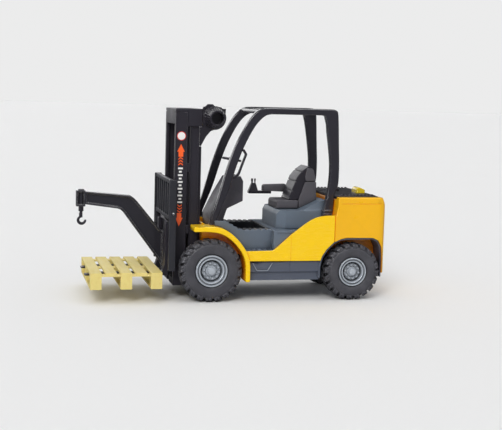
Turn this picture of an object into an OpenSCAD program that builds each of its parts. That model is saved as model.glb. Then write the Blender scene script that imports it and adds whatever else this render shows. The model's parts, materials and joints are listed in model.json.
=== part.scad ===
// Toy forklift truck, about one twelfth of full size, with a hand-wound mast, forks, a clip-on jib
// and a pallet. +X points forward, +Y to the driver's left, +Z up. The ground is z = 0 and the
// origin is under the middle of the truck.
// Parts are drawn with x measured from the front axle, or from the rear axle in rear_frame().

/* [Wheels] */
// Distance between the front and rear axles
wheelbase = 128; // [127:0.5:129]
// Radius of the front tyres
front_tyre_r = 27.5; // [26.5:0.5:28]
// Radius of the rear tyres
rear_tyre_r = 25.5; // [24.5:0.5:26]
// Width of each tyre
tyre_w = 17.5; // [15:0.5:18]
// Tread blocks round each row
tread_blocks = 20; // [18:1:24]
// Radius of the steel axles
axle_r = 1.5; // [1.3:0.1:1.6]
// Radial clearance of everything that turns
run_gap = 0.06; // [0.04:0.01:0.08]

/* [Body] */
// Distance from the middle plane to the outer face of the side panels
body_hw = 48; // [47.5:0.5:48.5]
// Distance from the middle plane to the outer edge of the front fenders
fender_hw = 50; // [49.5:0.5:50.5]
// Height of the rear deck's rim
deck_h = 92; // [91:0.5:92.5]
// Height of the cab's upper floor
floor_h = 62; // [61:0.5:62]
// Height of the lower step
step_h = 45; // [44:0.5:45.5]

/* [Mast] */
// Height of the top of the mast
mast_h = 166.5; // [165:0.5:168]
// Half width over the mast rails
mast_hw = 27.5; // [27:0.25:27.5]
// Radius of the winding drum
drum_r = 3.5; // [3.5:0.1:3.6]

/* [Load] */
// Height of the top of the forks
fork_top = 23.5; // [23:0.25:23.5]
// Distance from the middle plane to each fork's centre
fork_y = 20; // [19:0.5:20]
// Width of each fork
fork_w = 8; // [6:0.5:8]
// Half length of the pallet across the truck
pallet_hw = 47.2; // [46:0.2:48]
// Distance from the middle plane to the outer face of the load backrest
backrest_hw = 44; // [42:0.5:44]

/* [Hidden] */
$fn = 48;

front_axle_x = 23;    // ahead of the origin
rear_x = -wheelbase;  // the rear axle, from the front axle
seam_x = -70.2;       // the upright seam in each side
screw_y = 16;
screws = [[-20, 32], [rear_x - 14, 40]];  // body screws: [x, top of shank]

yellow = [1.0, 0.80, 0.10];
deep_yellow = [0.95, 0.70, 0.06];
black = [0.13, 0.12, 0.14];
dark = [0.30, 0.29, 0.30];
slate = [0.40, 0.43, 0.47];
console_grey = [0.48, 0.54, 0.57];
silver = [0.62, 0.65, 0.68];
tan = [0.92, 0.86, 0.56];

// ---- Frames ----
module front_frame() translate([front_axle_x, 0, 0]) children();
module to_rear() translate([rear_x, 0, 0]) children();
module rear_frame() front_frame() to_rear() children();
module both_sides() for (side = [0, 1]) mirror([0, side, 0]) children();

// ---- Solids given by their limits ----
module box(x0, x1, y0, y1, z0, z1) translate([x0, y0, z0]) cube([x1 - x0, y1 - y0, z1 - z0]);
module box_pair(x0, x1, y0, y1, z0, z1) both_sides() box(x0, x1, y0, y1, z0, z1);
module rod_y(x, z, y0, y1, r) translate([x, y1, z]) rotate([90, 0, 0]) cylinder(r = r, h = y1 - y0);
module rod_z(x, y, z0, z1, r) translate([x, y, z0]) cylinder(r = r, h = z1 - z0);
// A side outline of [x, z] points, extruded from y0 to y1
module slab(y0, y1)
    translate([0, y1, 0]) rotate([90, 0, 0]) linear_extrude(y1 - y0) children();
module slab_pair(y0, y1) both_sides() slab(y0, y1) children();
// A front outline of [y, z] points, extruded from x0 to x1
module front_slab(x0, x1)
    translate([x0, 0, 0]) rotate([90, 0, 90]) linear_extrude(x1 - x0) children();

// ---- Flat shapes and curves ----
module round_rect(x0, x1, y0, y1, r)
    translate([x0 + r, y0 + r])
        offset(r = r, $fn = 20)
            square([x1 - x0 - 2 * r, y1 - y0 - 2 * r]);
// A bar of a given width between two points
module bar(start, end, width) {
    run = end - start;
    translate(start) rotate(atan2(run[1], run[0]))
        translate([0, -width / 2]) square([norm(run), width]);
}
// A Catmull-Rom curve through the points, four steps to a span
function smooth(points) = [
    for (i = [0:len(points) - 2])
        let (a = points[max(i - 1, 0)], b = points[i], c = points[i + 1],
            d = points[min(i + 2, len(points) - 1)])
        for (step = [0:3])
            let (t = step / 4)
            0.5 * ((2 * b) + (c - a) * t + (2 * a - 5 * b + 4 * c - d) * t * t
                + (3 * b - a - 3 * c + d) * t * t * t),
    points[len(points) - 1]];
function reversed(points) = [for (i = [len(points) - 1:-1:0]) points[i]];

// ---- Outlines shared by several parts ----
// Front fender, [x, z] from the front end over the wheel to the rear foot
fender_outer = [[16.6, 66.2], [11, 66.3], [4, 66.3], [-2.7, 66.1], [-9.5, 64.4], [-16.3, 60.4],
    [-23.2, 54], [-28.2, 47.6], [-31.4, 42], [-33.2, 35.9], [-33.8, 28], [-33.8, 17.7]];
fender_inner = [[16.6, 61.9], [9.9, 61.9], [0.5, 61.6], [-8.2, 59.7], [-16.4, 54.7],
    [-23.4, 47.3], [-27, 41.5], [-28.9, 36.3], [-29.7, 29], [-29.7, 17.8]];
module fender_fill() polygon(concat(smooth(fender_outer), [[12, 17.7]]));

// Rear wheel well, [x, z] from the rear axle
module rear_arch() polygon([[31.5, 5], [31.5, 30], [30.4, 35.7], [28.7, 40.1], [24.6, 46.1],
    [18.6, 52], [12.5, 55], [6, 56], [-18, 56.1], [-23.5, 53.5], [-27, 47], [-28, 38], [-28, 5]]);

// Plan of the counterweight from the rear axle, with rounded rear corners
module rear_plan() {
    corner_r = 10;
    difference() {
        translate([-31 + corner_r, -body_hw + corner_r])
            offset(r = corner_r, $fn = 32) square([60, 2 * (body_hw - corner_r)]);
        translate([17.7, -100]) square([100, 200]);
    }
}

// ---- Wheels ----
rim_r = 14;         // bore of the front tyres
rear_scale = 0.91;  // rear rims against the front ones
axle_hl = 42.4;     // half length of an axle
tread_depth = 2.6;
bevel = 2.2;        // width of the slope at each edge of a tyre

// Outline of one row of tread blocks, each wider at its root
function tread_ring(r, phase) = [
    for (i = [0:tread_blocks - 1])
        let (pitch = 360 / tread_blocks, angle = phase + i * pitch)
        for (corner = [[-0.40, -tread_depth], [-0.34, 0], [0.34, 0], [0.40, -tread_depth]])
            (r + corner[1]) * [cos(angle + corner[0] * pitch), sin(angle + corner[0] * pitch)]];
// A carcass with bevelled edges and two rows of staggered tread blocks
module tyre(r, bore_r) {
    half_w = tyre_w / 2;
    difference() {
        union() {
            translate([0, 0, -half_w]) cylinder(r1 = r - 4.2, r2 = r - 2, h = bevel, $fn = 72);
            translate([0, 0, -half_w + bevel])
                cylinder(r = r - 2, h = 2 * half_w - 2 * bevel, $fn = 72);
            translate([0, 0, half_w - bevel])
                cylinder(r1 = r - 2, r2 = r - 4.2, h = bevel, $fn = 72);
            translate([0, 0, 0.4]) linear_extrude(half_w - 1.4) polygon(tread_ring(r, 90));
            translate([0, 0, -half_w + 1])
                linear_extrude(half_w - 1.4) polygon(tread_ring(r, 90 + 180 / tread_blocks));
        }
        translate([0, 0, -20]) cylinder(r = bore_r, h = 40, $fn = 72);
    }
}
// Half section of a rim, [radius, distance out], from the hub's back round to its nose;
// size scales the radii
function rim_section(size) = [for (point = [[0, -6], [4.5, -6], [4.5, 3], [12.1, 3], [12.3, -8],
    [13.98, -8], [13.98, 8.3], [13.4, 9.0], [12.5, 9.0], [12.0, 8.2], [11.3, 8.2], [10.8, 8.8],
    [10.1, 8.8], [9.5, 6.6], [9.2, 5.2], [4.7, 5.2], [4.5, 6.6], [3.9, 7.8], [2.8, 8.6],
    [1.5, 9.0], [0, 9.1]]) [point[0] * size, point[1]]];
module rim(size) difference() {
    union() {
        rotate_extrude($fn = 72) polygon(rim_section(size));
        // ten studs round the face
        for (i = [0:9])
            rotate(i * 36) translate([6.9 * size, 0, 5]) cylinder(r = 0.85 * size, h = 1.5, $fn = 16);
    }
    translate([0, 0, -7]) cylinder(r = axle_r + 0.02, h = 10.6);
}
// Two wheel places on an axle, local +Z to the left; outward turns the right one about
module wheel_pair(x, z, outward = false)
    front_frame()
        for (side = [-1, 1])
            translate([x, side * (body_hw - 0.2 - tyre_w / 2), z])
                rotate([-90, 0, 0])
                    rotate([0, outward && side < 0 ? 180 : 0, 0])
                        children();
module front_tyres() color(dark) wheel_pair(0, front_tyre_r) tyre(front_tyre_r, rim_r);
module rear_tyres()
    color(dark) wheel_pair(rear_x, rear_tyre_r) tyre(rear_tyre_r, rim_r * rear_scale);
module front_rims() color(silver) wheel_pair(0, front_tyre_r, outward = true) rim(1);
module rear_rims() color(silver) wheel_pair(rear_x, rear_tyre_r, outward = true) rim(rear_scale);
module front_axle() color(silver) front_frame() rod_y(0, front_tyre_r, -axle_hl, axle_hl, axle_r);
module rear_axle() color(silver) rear_frame() rod_y(0, rear_tyre_r, -axle_hl, axle_hl, axle_r);

// ---- Chassis ----
tray_rear = rear_x - 22;
tray_front = 6.4;
tray_hw = 27.5;
tray_bottom = 18.5;
tray_top = 36;
// battery bay
bay_rear = -95.5;
bay_front = -62.5;
bay_hw = 11.5;
bay_wall = 1.5;
cover_gap = 0.3;
cover_screw_x = -60;

module tray() {
    box(tray_rear, tray_front, -tray_hw, tray_hw, tray_bottom, 21);
    box_pair(tray_rear, tray_front, tray_hw - 2.5, tray_hw, tray_bottom, tray_top);
    for (x = [tray_rear, tray_front - 2])
        box(x, x + 2, -tray_hw, tray_hw, tray_bottom, tray_top);
}
// Side skirts with an undercut lower band and a raised line on each
module skirts() {
    both_sides() front_slab(rear_x + 30.6, -34.1)
        polygon([[27, 33.7], [42, 33.7], [42, 18.5], [44, 18.5], [44, 25], [46, 26.4],
            [46, 35.7], [27, 35.7]]);
    slab_pair(45.8, 46.5) {
        bar([-36.6, 33.8], [-40.4, 27.3], 0.8);
        bar([-40.6, 27.5], [-50.1, 27.5], 0.8);
        bar([-50, 27.2], [-54.1, 33.7], 0.8);
    }
}
module rear_wells() to_rear() intersection() {
    slab_pair(27, 46.8) difference() {
        rear_arch();
        offset(delta = -1.5) rear_arch();
        translate([-100, 0]) square([200, 20.5]);
    }
    linear_extrude(80) union() {
        offset(delta = -1.1) rear_plan();
        translate([10, -47]) square([30, 94]);
    }
}
module chassis_base() color(slate) front_frame() difference() {
    union() {
        tray();
        skirts();
        rear_wells();
        difference() {
            box(bay_rear - bay_wall, bay_front + bay_wall, -bay_hw - bay_wall, bay_hw + bay_wall,
                20, 30 + bay_wall);
            box(bay_rear, bay_front, -bay_hw, bay_hw, 18, 30);
        }
        // bosses round the axles
        both_sides() {
            rod_y(0, front_tyre_r, 21, 25.5, 4.2);
            rod_y(rear_x, rear_tyre_r, 21, 25.5, 4.2);
        }
    }
    box(bay_rear, bay_front, -bay_hw, bay_hw, 18, 22);
    rod_y(0, front_tyre_r, -30, 30, axle_r + run_gap);
    rod_y(rear_x, rear_tyre_r, -30, 30, axle_r + run_gap);
    both_sides() for (screw = screws) {
        rod_z(screw[0], screw_y, 18, 22, 1.5);
        rod_z(screw[0], screw_y, 18, 19.6, 2.9);
    }
    rod_z(cover_screw_x, 0, 18, 22, 1.05);
    both_sides() translate([seam_x, 46, 25]) cube([0.4, 0.5, 30], center = true);
}
module battery_cover() color(slate) front_frame() difference() {
    union() {
        box(bay_rear + cover_gap, bay_front - cover_gap, -bay_hw + cover_gap, bay_hw - cover_gap,
            18.6, 20.2);
        // the screw tab and the step that joins it
        box(-62.9, -57, -4, 4, 17.2, 18.4);
        box(-66, -62.8, -4, 4, 17.2, 18.7);
    }
    rod_z(cover_screw_x, 0, 17, 19, 1.05);
    // grip grooves
    for (i = [0:4]) box(-92 + i * 2.4, -91 + i * 2.4, -7, 7, 18.5, 18.9);
}
module battery_cover_screw() color(silver) front_frame() translate([cover_screw_x, 0, 0]) {
    difference() {
        rod_z(0, 0, 16.2, 17.15, 1.9);
        box(-1.4, 1.4, -0.25, 0.25, 16, 16.7);
        box(-0.25, 0.25, -1.4, 1.4, 16, 16.7);
    }
    rod_z(0, 0, 17.1, 24, 1.0);
}
module battery_cells() color(silver) front_frame()
    for (i = [0:2]) rod_z(-89 + i * 10, 0, 21.2, 26.6, 4.75);
module battery_contacts() color("goldenrod") front_frame() {
    for (i = [0, 1]) box(-93.5 + i * 20, -84.5 + i * 20, -3, 3, 26.7, 27.1);
    box(-93, -75, -3, 3, 20.4, 20.8);
}
module body_screws() color(silver) front_frame() both_sides()
    for (screw = screws) translate([screw[0], screw_y, 0]) {
        difference() {
            rod_z(0, 0, 18.1, 19.5, 2.7);
            translate([0, 0, 18.6]) cube([3.4, 0.6, 1.2], center = true);
            translate([0, 0, 18.6]) cube([0.6, 3.4, 1.2], center = true);
        }
        rod_z(0, 0, 19.4, screw[1], 1.3);
    }

// ---- Yellow bodywork ----
// The side panel's front edge follows the fender
module side_panel() difference() {
    polygon([[-28, 35.9], [-28, 44.7], [-53.8, 45.2], [-58, 48.1], [-69.8, 58.7], [-82.9, 68.7],
        [-88, 72.0], [-92.5, 74.1], [-97.5, 75.3], [-102.3, 75.9], [rear_x + 18, 76.1],
        [rear_x + 18, 52.6], [rear_x + 24.7, 46.2], [rear_x + 28.8, 40.2], [rear_x + 30.4, 35.9]]);
    offset(delta = 0.15) fender_fill();
}
module body_shell() color(yellow) front_frame() difference() {
    union() {
        slab_pair(46.1, body_hw) side_panel();
        // an inward lip along the sloping top edge
        slab_pair(45.7, body_hw) difference() {
            side_panel();
            translate([0.8, -1.8]) side_panel();
            translate([-60, 0]) square([40, 47]);
        }
        // the shelf behind the seat that the guard's rear feet stand on
        box(rear_x + 18, rear_x + 25.5, -46.2, 46.2, 72, 74);
        box(rear_x + 18, rear_x + 20, -46.2, 46.2, 56.6, 74);
    }
    // room for the seat box
    box(-107.6, -100, -31.2, 31.2, 50, 76);
    both_sides() translate([seam_x, body_hw, 30]) cube([0.35, 0.5, 100], center = true);
}

// Six places down the counterweight's sloped rear edge, local z square to the slope
module slope_slots()
    for (i = [0:5])
        translate([-28.5, -17.5 + 7 * i, 87.3]) rotate([0, -60.9, 0]) children();
module counterweight() color(deep_yellow) rear_frame() difference() {
    union() {
        translate([0, 0, 36.3]) linear_extrude(deck_h - 36.3) rear_plan();
        intersection() {
            translate([0, 0, 24]) linear_extrude(30) rear_plan();
            box(-40, -22.3, -60, 60, 20, 60);
        }
    }
    // wheel wells
    slab_pair(26.8, 60) rear_arch();
    // the sloped rear edge
    slab(-60, 60)
        polygon([[-26, deck_h + 0.1], [-31.2, 82.6], [-40, 82.6], [-40, deck_h + 5]]);
    // the front face leans back above the side panels
    slab(-60, 60) polygon([[17, 76], [15.5, 84], [15.5, 100], [40, 100], [40, 76]]);
    // hollow inside
    translate([0, 0, 58.5]) linear_extrude(20.5) intersection() {
        offset(delta = -2.5) rear_plan();
        translate([-28.5, -60]) square([43.8, 120]);
    }
    box(-23.5, 13, -44, 44, 70, deck_h - 2.5);
    box(-26, 15.2, -25, 25, 38.3, 60);
    // the deck opening and the front rim that the panel covers
    box(-24, 12.8, -41.2, 41.2, 80, 100);
    box(12, 20, -41.2, 41.2, deck_h - 2.1, 100);
    both_sides() rod_z(-14, screw_y, 30, 60, 1.4);
    slope_slots() cube([7, 3.2, 4.4], center = true);
    // a level crease below the rim on both sides
    difference() {
        translate([0, 0, 86.2]) linear_extrude(0.5) difference() {
            offset(delta = 2) rear_plan();
            offset(delta = -0.35) rear_plan();
        }
        box(-60, -25, -60, 60, 80, 90);
        box(12, 60, -60, 60, 80, 90);
    }
}
module fender() {
    slab(30, fender_hw)
        offset(r = 1.1, $fn = 20) offset(delta = -1.1)
            polygon(concat(smooth(fender_outer), reversed(smooth(fender_inner))));
    // the inner wall of the wheel well
    slab(28.3, 30.1) difference() {
        polygon(concat([[6.2, 40], [6.2, 66.1]],
            smooth([for (point = fender_outer) if (point[0] < 5) point]), [[-33.8, 17.7]]));
        translate([-60, 0]) square([80, 40]);
    }
}
module fender_left() color(yellow) front_frame() fender();
module fender_right() color(yellow) front_frame() mirror([0, 1, 0]) fender();
module front_cowl() color(yellow) front_frame() difference() {
    slab(-28.1, 28.1)
        polygon([[6.2, 36.3], [6.2, 67.2], [5.4, 67.7], [0.9, 64.6], [-3.2, 62.6], [-3.2, 36.3]]);
    slab(-26, 26) polygon([[4.2, 30], [4.2, 63.8], [0.2, 61.9], [-4, 60.2], [-4, 30]]);
}

// ---- Cab ----
floor_rear = -57;
floor_hw = 38;
side_box_rear = -107.6;  // the boxes beside the seat
side_box_hw = 45.6;

// Raised front corner that climbs in steps beside the fender
module corner_steps() polygon([[-36, floor_h - 2.5], [-36, floor_h - 0.2], [-29, floor_h - 0.1],
    [-27.6, 63.2], [-24.2, 63.2], [-23.8, 64.7], [-20.3, 65.5], [-19.9, 67], [-16.4, 67.7],
    [-16.1, 69.1], [-13.4, 70], [-8, 70.2], [-3.6, 70.4], [-3.6, floor_h - 2.5]]);
module tread_teeth() {
    for (i = [0:3])
        box_pair(-54.6 + i * 5, -51.6 + i * 5, 38.5, 45.5, step_h - 0.5, step_h + 0.6);
    for (i = [0:5])
        box_pair(-54.2 + i * 5, -51.4 + i * 5, 27, floor_hw - 0.1, floor_h - 0.5, floor_h + 0.8);
}
module cab_tub() color(console_grey) front_frame() difference() {
    union() {
        box(floor_rear, -3.5, -floor_hw, floor_hw, floor_h - 2.5, floor_h);
        // the sunken footwell
        box(-55.5, -13.2, -25.5, 25.5, 46.5, floor_h - 1);
        // risers from the step to the floor, and the step itself
        box_pair(floor_rear, -10, floor_hw - 2, floor_hw, step_h - 3, floor_h);
        box_pair(floor_rear, -28, floor_hw - 2, 46, step_h - 2.5, step_h);
        difference() {
            box(side_box_rear, -56, -side_box_hw, side_box_hw, 36.2, floor_h);
            box(side_box_rear + 2, -58, -side_box_hw + 2, side_box_hw - 2, 30, floor_h - 2);
        }
        box(floor_rear, -55, -side_box_hw, side_box_hw, 36.2, floor_h);
        slab_pair(34, floor_hw) corner_steps();
        both_sides() rod_z(-20, screw_y, 21.1, 47.2, 3);
        tread_teeth();
    }
    box(-54, -14.7, -24, 24, 48, floor_h + 5);
    // room for the guard's front feet and for the rear wheel wells
    box_pair(-8.6, 2, 30.8, 36.7, 66.4, 80);
    slab_pair(26.6, 60) offset(delta = 0.2) to_rear() rear_arch();
    // room for the fenders
    slab_pair(28.1, 60) {
        offset(delta = 0.15) fender_fill();
        translate([-12, 5]) square([40, 57]);
    }
    both_sides() rod_z(-20, screw_y, 20, 40, 1.4);
    // a groove along the ledge
    box_pair(-106, -58, 45.2, 50, floor_h - 2.2, floor_h - 1.5);
}

// ---- Seat ----
module seat_pedestal() color(console_grey) front_frame() difference() {
    intersection() {
        slab(-31, 31) polygon([[-62, floor_h + 0.1], [-62, 74.4], [-64.6, 78.5], [-84, 78.5],
            [-104, 88], [-107.4, 88], [-107.4, floor_h + 0.1]]);
        // front corners cut off in plan
        linear_extrude(120)
            polygon([[-60, -24], [-60, 24], [-69, 31], [-110, 31], [-110, -31], [-69, -31]]);
        // chamfered upper side edges
        front_slab(-110, -50)
            polygon([[-31, 50], [-31, 78], [-29, 80.5], [-29, 95], [29, 95], [29, 80.5],
                [31, 78], [31, 50]]);
    }
    box(-105, -66, -27, 27, 50, 75.5);
}
module seat_cushion() color(dark) front_frame()
    slab(-15.5, 15.5) polygon([[-64.6, 78.7], [-64.6, 84.8], [-66, 86.3], [-84.9, 86.3],
        [-84.9, 79.3], [-84, 78.7]]);
module seat_back() color(dark) front_frame() {
    slab(-15.5, 15.5)
        polygon([[-87.5, 80.2], [-87.4, 86.6], [-93.8, 103], [-101.3, 103.2], [-102, 87.3]]);
    // side wings
    slab_pair(13.2, 15.5)
        polygon([[-85.2, 79.3], [-85.2, 86.5], [-91, 103], [-95, 103], [-90, 81.6]]);
}
module seat_back_pad() color(black) front_frame() difference() {
    slab(-12.9, 12.9) polygon([[-76.2, 86.5], [-77.2, 89.5], [-83.6, 106.8], [-86.4, 110.4],
        [-89.6, 113.7], [-94.6, 117.1], [-96.4, 116.4], [-93.9, 104], [-87.1, 86.9],
        [-87.1, 86.5]]);
    // cross seams at [x, z]
    for (seam = [[-79.2, 95], [-82.2, 103.2], [-88.0, 112.3]])
        translate([seam[0], 0, seam[1]]) rotate([0, -18, 0]) cube([2.2, 40, 0.6], center = true);
}
module seat_headrest() color(dark) front_frame() {
    slab(-15, 15) polygon([[-94.3, 103.5], [-96.7, 115.4], [-99, 113.5], [-101.3, 103.5]]);
    // side wings
    slab_pair(13.1, 15)
        polygon([[-91.8, 103.5], [-91, 107.4], [-92.4, 115.4], [-97.2, 115.2], [-96, 103.5]]);
}
module armrest() color(dark) front_frame() {
    slab(-23.4, -17.3) polygon([[-60, 92], [-60, 96.6], [-61, 97.6], [-81, 98.4], [-82, 97.4],
        [-82, 92.6], [-80, 91]]);
    box(-92, -80, -17.4, -15.6, 91, 97);
}
module lever_cluster() color(black) front_frame() {
    // a plate fixed under the armrest
    box(-68, -46.6, -24, -17.4, 89.2, 91.55);
    // a tapered boot under three short levers at [x, y]
    hull() {
        box(-55.4, -47, -23.6, -17.8, 91.4, 92);
        box(-53.4, -49.4, -22.2, -19.2, 98.4, 98.8);
    }
    for (lever = [[-52.9, -20.7], [-50.1, -21.6], [-50.1, -19.8]]) {
        rod_z(lever[0], lever[1], 98, 101, 0.55);
        rod_z(lever[0], lever[1], 100.4, 103, 0.8);
    }
}

// ---- Dashboard and steering ----
// Local z runs up the leaning steering column
module column_frame() translate([-22.7, 0, 103.2]) rotate([0, -9, 0]) children();
module dashboard() color(dark) front_frame() difference() {
    union() {
        slab(-18, 18) polygon([[-3.5, floor_h + 0.2], [-14, floor_h + 0.2], [-15.4, 69.8],
            [-18.5, 79], [-32.6, 85.8], [-32.6, 103.6], [-30.5, 107.6], [-21, 105.8], [-13, 92],
            [-7, 80], [-3.5, 73]]);
        // the lower half stands a little proud at the sides
        slab(-18.6, 18.6) polygon([[-5, 66], [-13.6, 66], [-15, 70.2], [-18, 79.4],
            [-31.8, 86.2], [-31.8, 92.4], [-20, 95.6], [-14, 91.5], [-8, 80], [-5, 74]]);
    }
    column_frame() translate([0, 0, -7]) cylinder(r = 2.05, h = 30);
    // instrument recess
    translate([-28.4, 0, 107.6]) rotate([0, 11, 0]) cube([4, 12, 1.6], center = true);
}
module steering_column() color(black) front_frame() column_frame() {
    translate([0, 0, -6.8]) cylinder(r = 2, h = 22.6);
    translate([0, 0, 15.5]) cylinder(r = 1, h = 4.4);
}
module steering_wheel() color(black) front_frame() column_frame() difference() {
    union() {
        translate([0, 0, 18.7])
            rotate_extrude($fn = 64) translate([8, 0]) circle(r = 1.0, $fn = 24);
        translate([0, 0, 16.1]) cylinder(r = 2.6, h = 4.4);
        for (angle = [90, 210, 330])
            rotate(angle) translate([1, -0.9, 18.1]) cube([6.6, 1.8, 1.2]);
    }
    translate([0, 0, 16]) cylinder(r = 1 + run_gap, h = 4.0);
}

// ---- Overhead guard ----
// Edges of the bent side bar, [x, z]; the roof between front and rear is straight
guard_outer_front = [[1.1, 66.4], [-7, 92], [-14.1, 117.6], [-21.7, 138.2], [-30.8, 155.6],
    [-37.4, 164.3], [-44.1, 168.3], [-51, 169.1]];
guard_outer_rear = [[-106, 169.2], [-111, 168.4], [-113.6, 164], [-114.9, 140.5], [-116, 118],
    [-115.6, 102], [-113.2, 95.5], [-112.2, 91], [-111.4, 80], [-110.2, 76.3]];
guard_inner_rear = [[-98, 163.6], [-100.6, 163], [-102, 160.5], [-105.8, 137], [-107.7, 118.7],
    [-107.1, 102.3], [-104.6, 88], [-102.7, 76.3]];
guard_inner_front = [[-52.5, 163.5], [-46.2, 161.4], [-37.9, 152.4], [-28.8, 135],
    [-22.3, 117.7], [-14.8, 93.6], [-6.4, 72.5], [-5.1, 66.4]];
module guard_side() polygon(concat(smooth(guard_outer_front), smooth(guard_outer_rear),
    [[-110.2, 74.1], [-102.7, 74.1]],
    reversed(smooth(guard_inner_rear)), smooth(guard_inner_front)));
guard_bar_hw = 31.2;  // half length of the roof bars
module overhead_guard() color(black) front_frame() {
    slab_pair(31, 36.5) guard_side();
    // stepped rear feet
    box_pair(-110.2, -101.9, 31.1, 37.4, 74.1, 76.4);
    box_pair(-110.8, -102.1, 31.1, 37.2, 78.4, 79.6);
    // roof cross bars
    box(-47.5, -40.5, -guard_bar_hw, guard_bar_hw, 163.6, 167.2);
    box(-112, -105, -guard_bar_hw, guard_bar_hw, 163.9, 168.4);
    for (i = [0:6])
        box(-96.6 + i * 7.4, -93.4 + i * 7.4, -guard_bar_hw, guard_bar_hw, 164.6, 167.8);
}
// Centre line of the grab handle on the left front post, [x, z]
handle_path = [[-25.0, 132.2], [-28.6, 131.6], [-30.6, 128.4], [-24.4, 111.2], [-21.6, 108.2],
    [-19.3, 107.6]];
// Each bar runs 0.1 past its end to overlap the next
module handle_line()
    for (i = [0:len(handle_path) - 2])
        let (start = handle_path[i], end = handle_path[i + 1])
        bar(start, end + 0.1 * (end - start) / norm(end - start), 0.3);
module grab_handle() color(black) front_frame() slab(33, 35.4) difference() {
    offset(r = 0.85, $fn = 16) handle_line();
    offset(delta = 0.06) guard_side();
}

// ---- Rear deck ----
cap_x = 1;
cap_y = -8;
module deck_panel() color(dark) rear_frame() difference() {
    union() {
        translate([0, 0, deck_h - 2]) linear_extrude(2.6) round_rect(-23.8, 15.2, -41, 41, 1.2);
        translate([0, 0, deck_h + 0.5])
            linear_extrude(0.8) round_rect(-22.3, 13.6, -39.5, 39.5, 2);
        // four legs
        box_pair(-21, -19.4, 16.8, 18.4, 79.6, deck_h - 1);
        box_pair(4, 5.6, 16.4, 18, 79.6, deck_h - 1);
        // a row of small blocks along each side and parallel ribs on the right
        for (i = [0:8])
            box_pair(-20 + i * 3.4, -18.2 + i * 3.4, 36.2, 38.6, deck_h + 1, deck_h + 2.2);
        for (i = [0:5]) box(-4 + i * 2, -3 + i * 2, -33, -24, deck_h + 1, deck_h + 1.9);
    }
    // button opening and the cap's seat
    translate([0, 0, 80]) linear_extrude(20) round_rect(-20.65, -11.85, 0.35, 15.65, 1.6);
    rod_z(cap_x, cap_y, deck_h - 0.2, 100, 4.1);
}
module deck_cap() color(black) rear_frame() {
    rod_z(cap_x, cap_y, deck_h - 0.1, deck_h + 3.2, 4);
    rod_z(cap_x, cap_y, deck_h + 3.1, deck_h + 3.9, 2.6);
}
module sound_button() color(yellow) rear_frame() {
    // a cap whose top rises from the rear to a ridge nearer its front
    intersection() {
        translate([0, 0, deck_h - 3.9]) linear_extrude(12) round_rect(-20.5, -12, 0.5, 15.5, 1.5);
        slab(0, 16) polygon([[-22, 80], [-22, 95.4], [-20, 96.3], [-15.4, 98.3], [-14, 98.2],
            [-12.6, 97], [-11, 94.6], [-11, 80]]);
    }
    translate([0, 0, deck_h - 4.1])
        linear_extrude(1.6) round_rect(-21.3, -11.2, -0.3, 16.3, 1.5);
}
// A coil of round wire, built as rings of points joined by quads
module button_spring() color(silver) rear_frame() translate([-16.25, 8, 79.9]) {
    turn_steps = 16;
    steps = turn_steps * 4;  // four turns
    wire_sides = 8;
    rise = 7.4;
    wire_r = 0.35;
    coil_r = 3;
    points = [for (i = [0:steps])
        let (turn = 360 * i / turn_steps, z = wire_r + rise * i / steps)
        for (j = [0:wire_sides - 1])
            let (around = 360 * j / wire_sides, r = coil_r + wire_r * cos(around))
            [r * cos(turn), r * sin(turn), z + wire_r * sin(around)]];
    sides = [for (i = [0:steps - 1]) for (j = [0:wire_sides - 1])
        let (a = i * wire_sides + j, b = i * wire_sides + (j + 1) % wire_sides)
        [a, a + wire_sides, b + wire_sides, b]];
    start_face = [for (j = [0:wire_sides - 1]) j];
    end_face = [for (j = [wire_sides - 1:-1:0]) steps * wire_sides + j];
    polyhedron(points = points, faces = concat(sides, [start_face], [end_face]));
}
module circuit_board() color("darkgreen") rear_frame() {
    box(-22, 6, -18, 18, 77.8, 79.4);
    box(-6, -1, -4, 4, 76.4, 77.9);
}
module speaker() color(black) rear_frame() translate([-3, 0, 0]) {
    rod_z(0, 0, 38.4, 40, 13);
    translate([0, 0, 39.9]) cylinder(r1 = 11, r2 = 7, h = 3);
    rod_z(0, 0, 42.8, 46, 6);
}
module led_lamps() color("red") rear_frame()
    slope_slots() translate([-2.9, -1.3, -2]) cube([5.8, 2.6, 1.5]);

// ---- Mast ----
rail_back = 20;
rail_front = 30.5;
mast_bottom = 12;
frame_front = 19.9;   // front of the foot, braces and head arms behind the rails
head_z = mast_h - 2.8;
pulley_x = 22;
pulley_z = 157.5;

module rail() difference() {
    union() {
        box(rail_back, rail_front, mast_hw - 5.5, mast_hw, mast_bottom, mast_h - 3);
        // raised ribs down the outer face, at its back and front edges
        for (x = [rail_back, rail_front - 0.8])
            box(x, x + 0.8, mast_hw - 0.1, mast_hw + 0.4, mast_bottom, mast_h - 3);
    }
    box(22.5, 28, mast_hw - 6, mast_hw - 2.5, 11, mast_h);
}
module mast_rail_left() color(black) front_frame() rail();
module mast_rail_right() color(black) front_frame() mirror([0, 1, 0]) rail();
module mast_head() color(black) front_frame() difference() {
    union() {
        box(7.1, rail_front, -mast_hw, mast_hw, mast_h - 2.9, mast_h);
        box_pair(7.1, frame_front, mast_hw - 2, mast_hw, 151.2, head_z);
        box(28.6, rail_front, -mast_hw + 5.6, mast_hw - 5.6, 153, head_z);
        // cheeks beside the pulley
        box_pair(17, 28.7, 2.2, 4.2, 154, head_z);
    }
    rod_y(pulley_x, pulley_z, -5, 5, 1.02);
    // two openings in the top
    box_pair(12, 26, 9, 20, 160, 170);
}
module pulley_pin() color(silver) front_frame() rod_y(pulley_x, pulley_z, -4.2, 4.2, 1.0);
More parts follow.
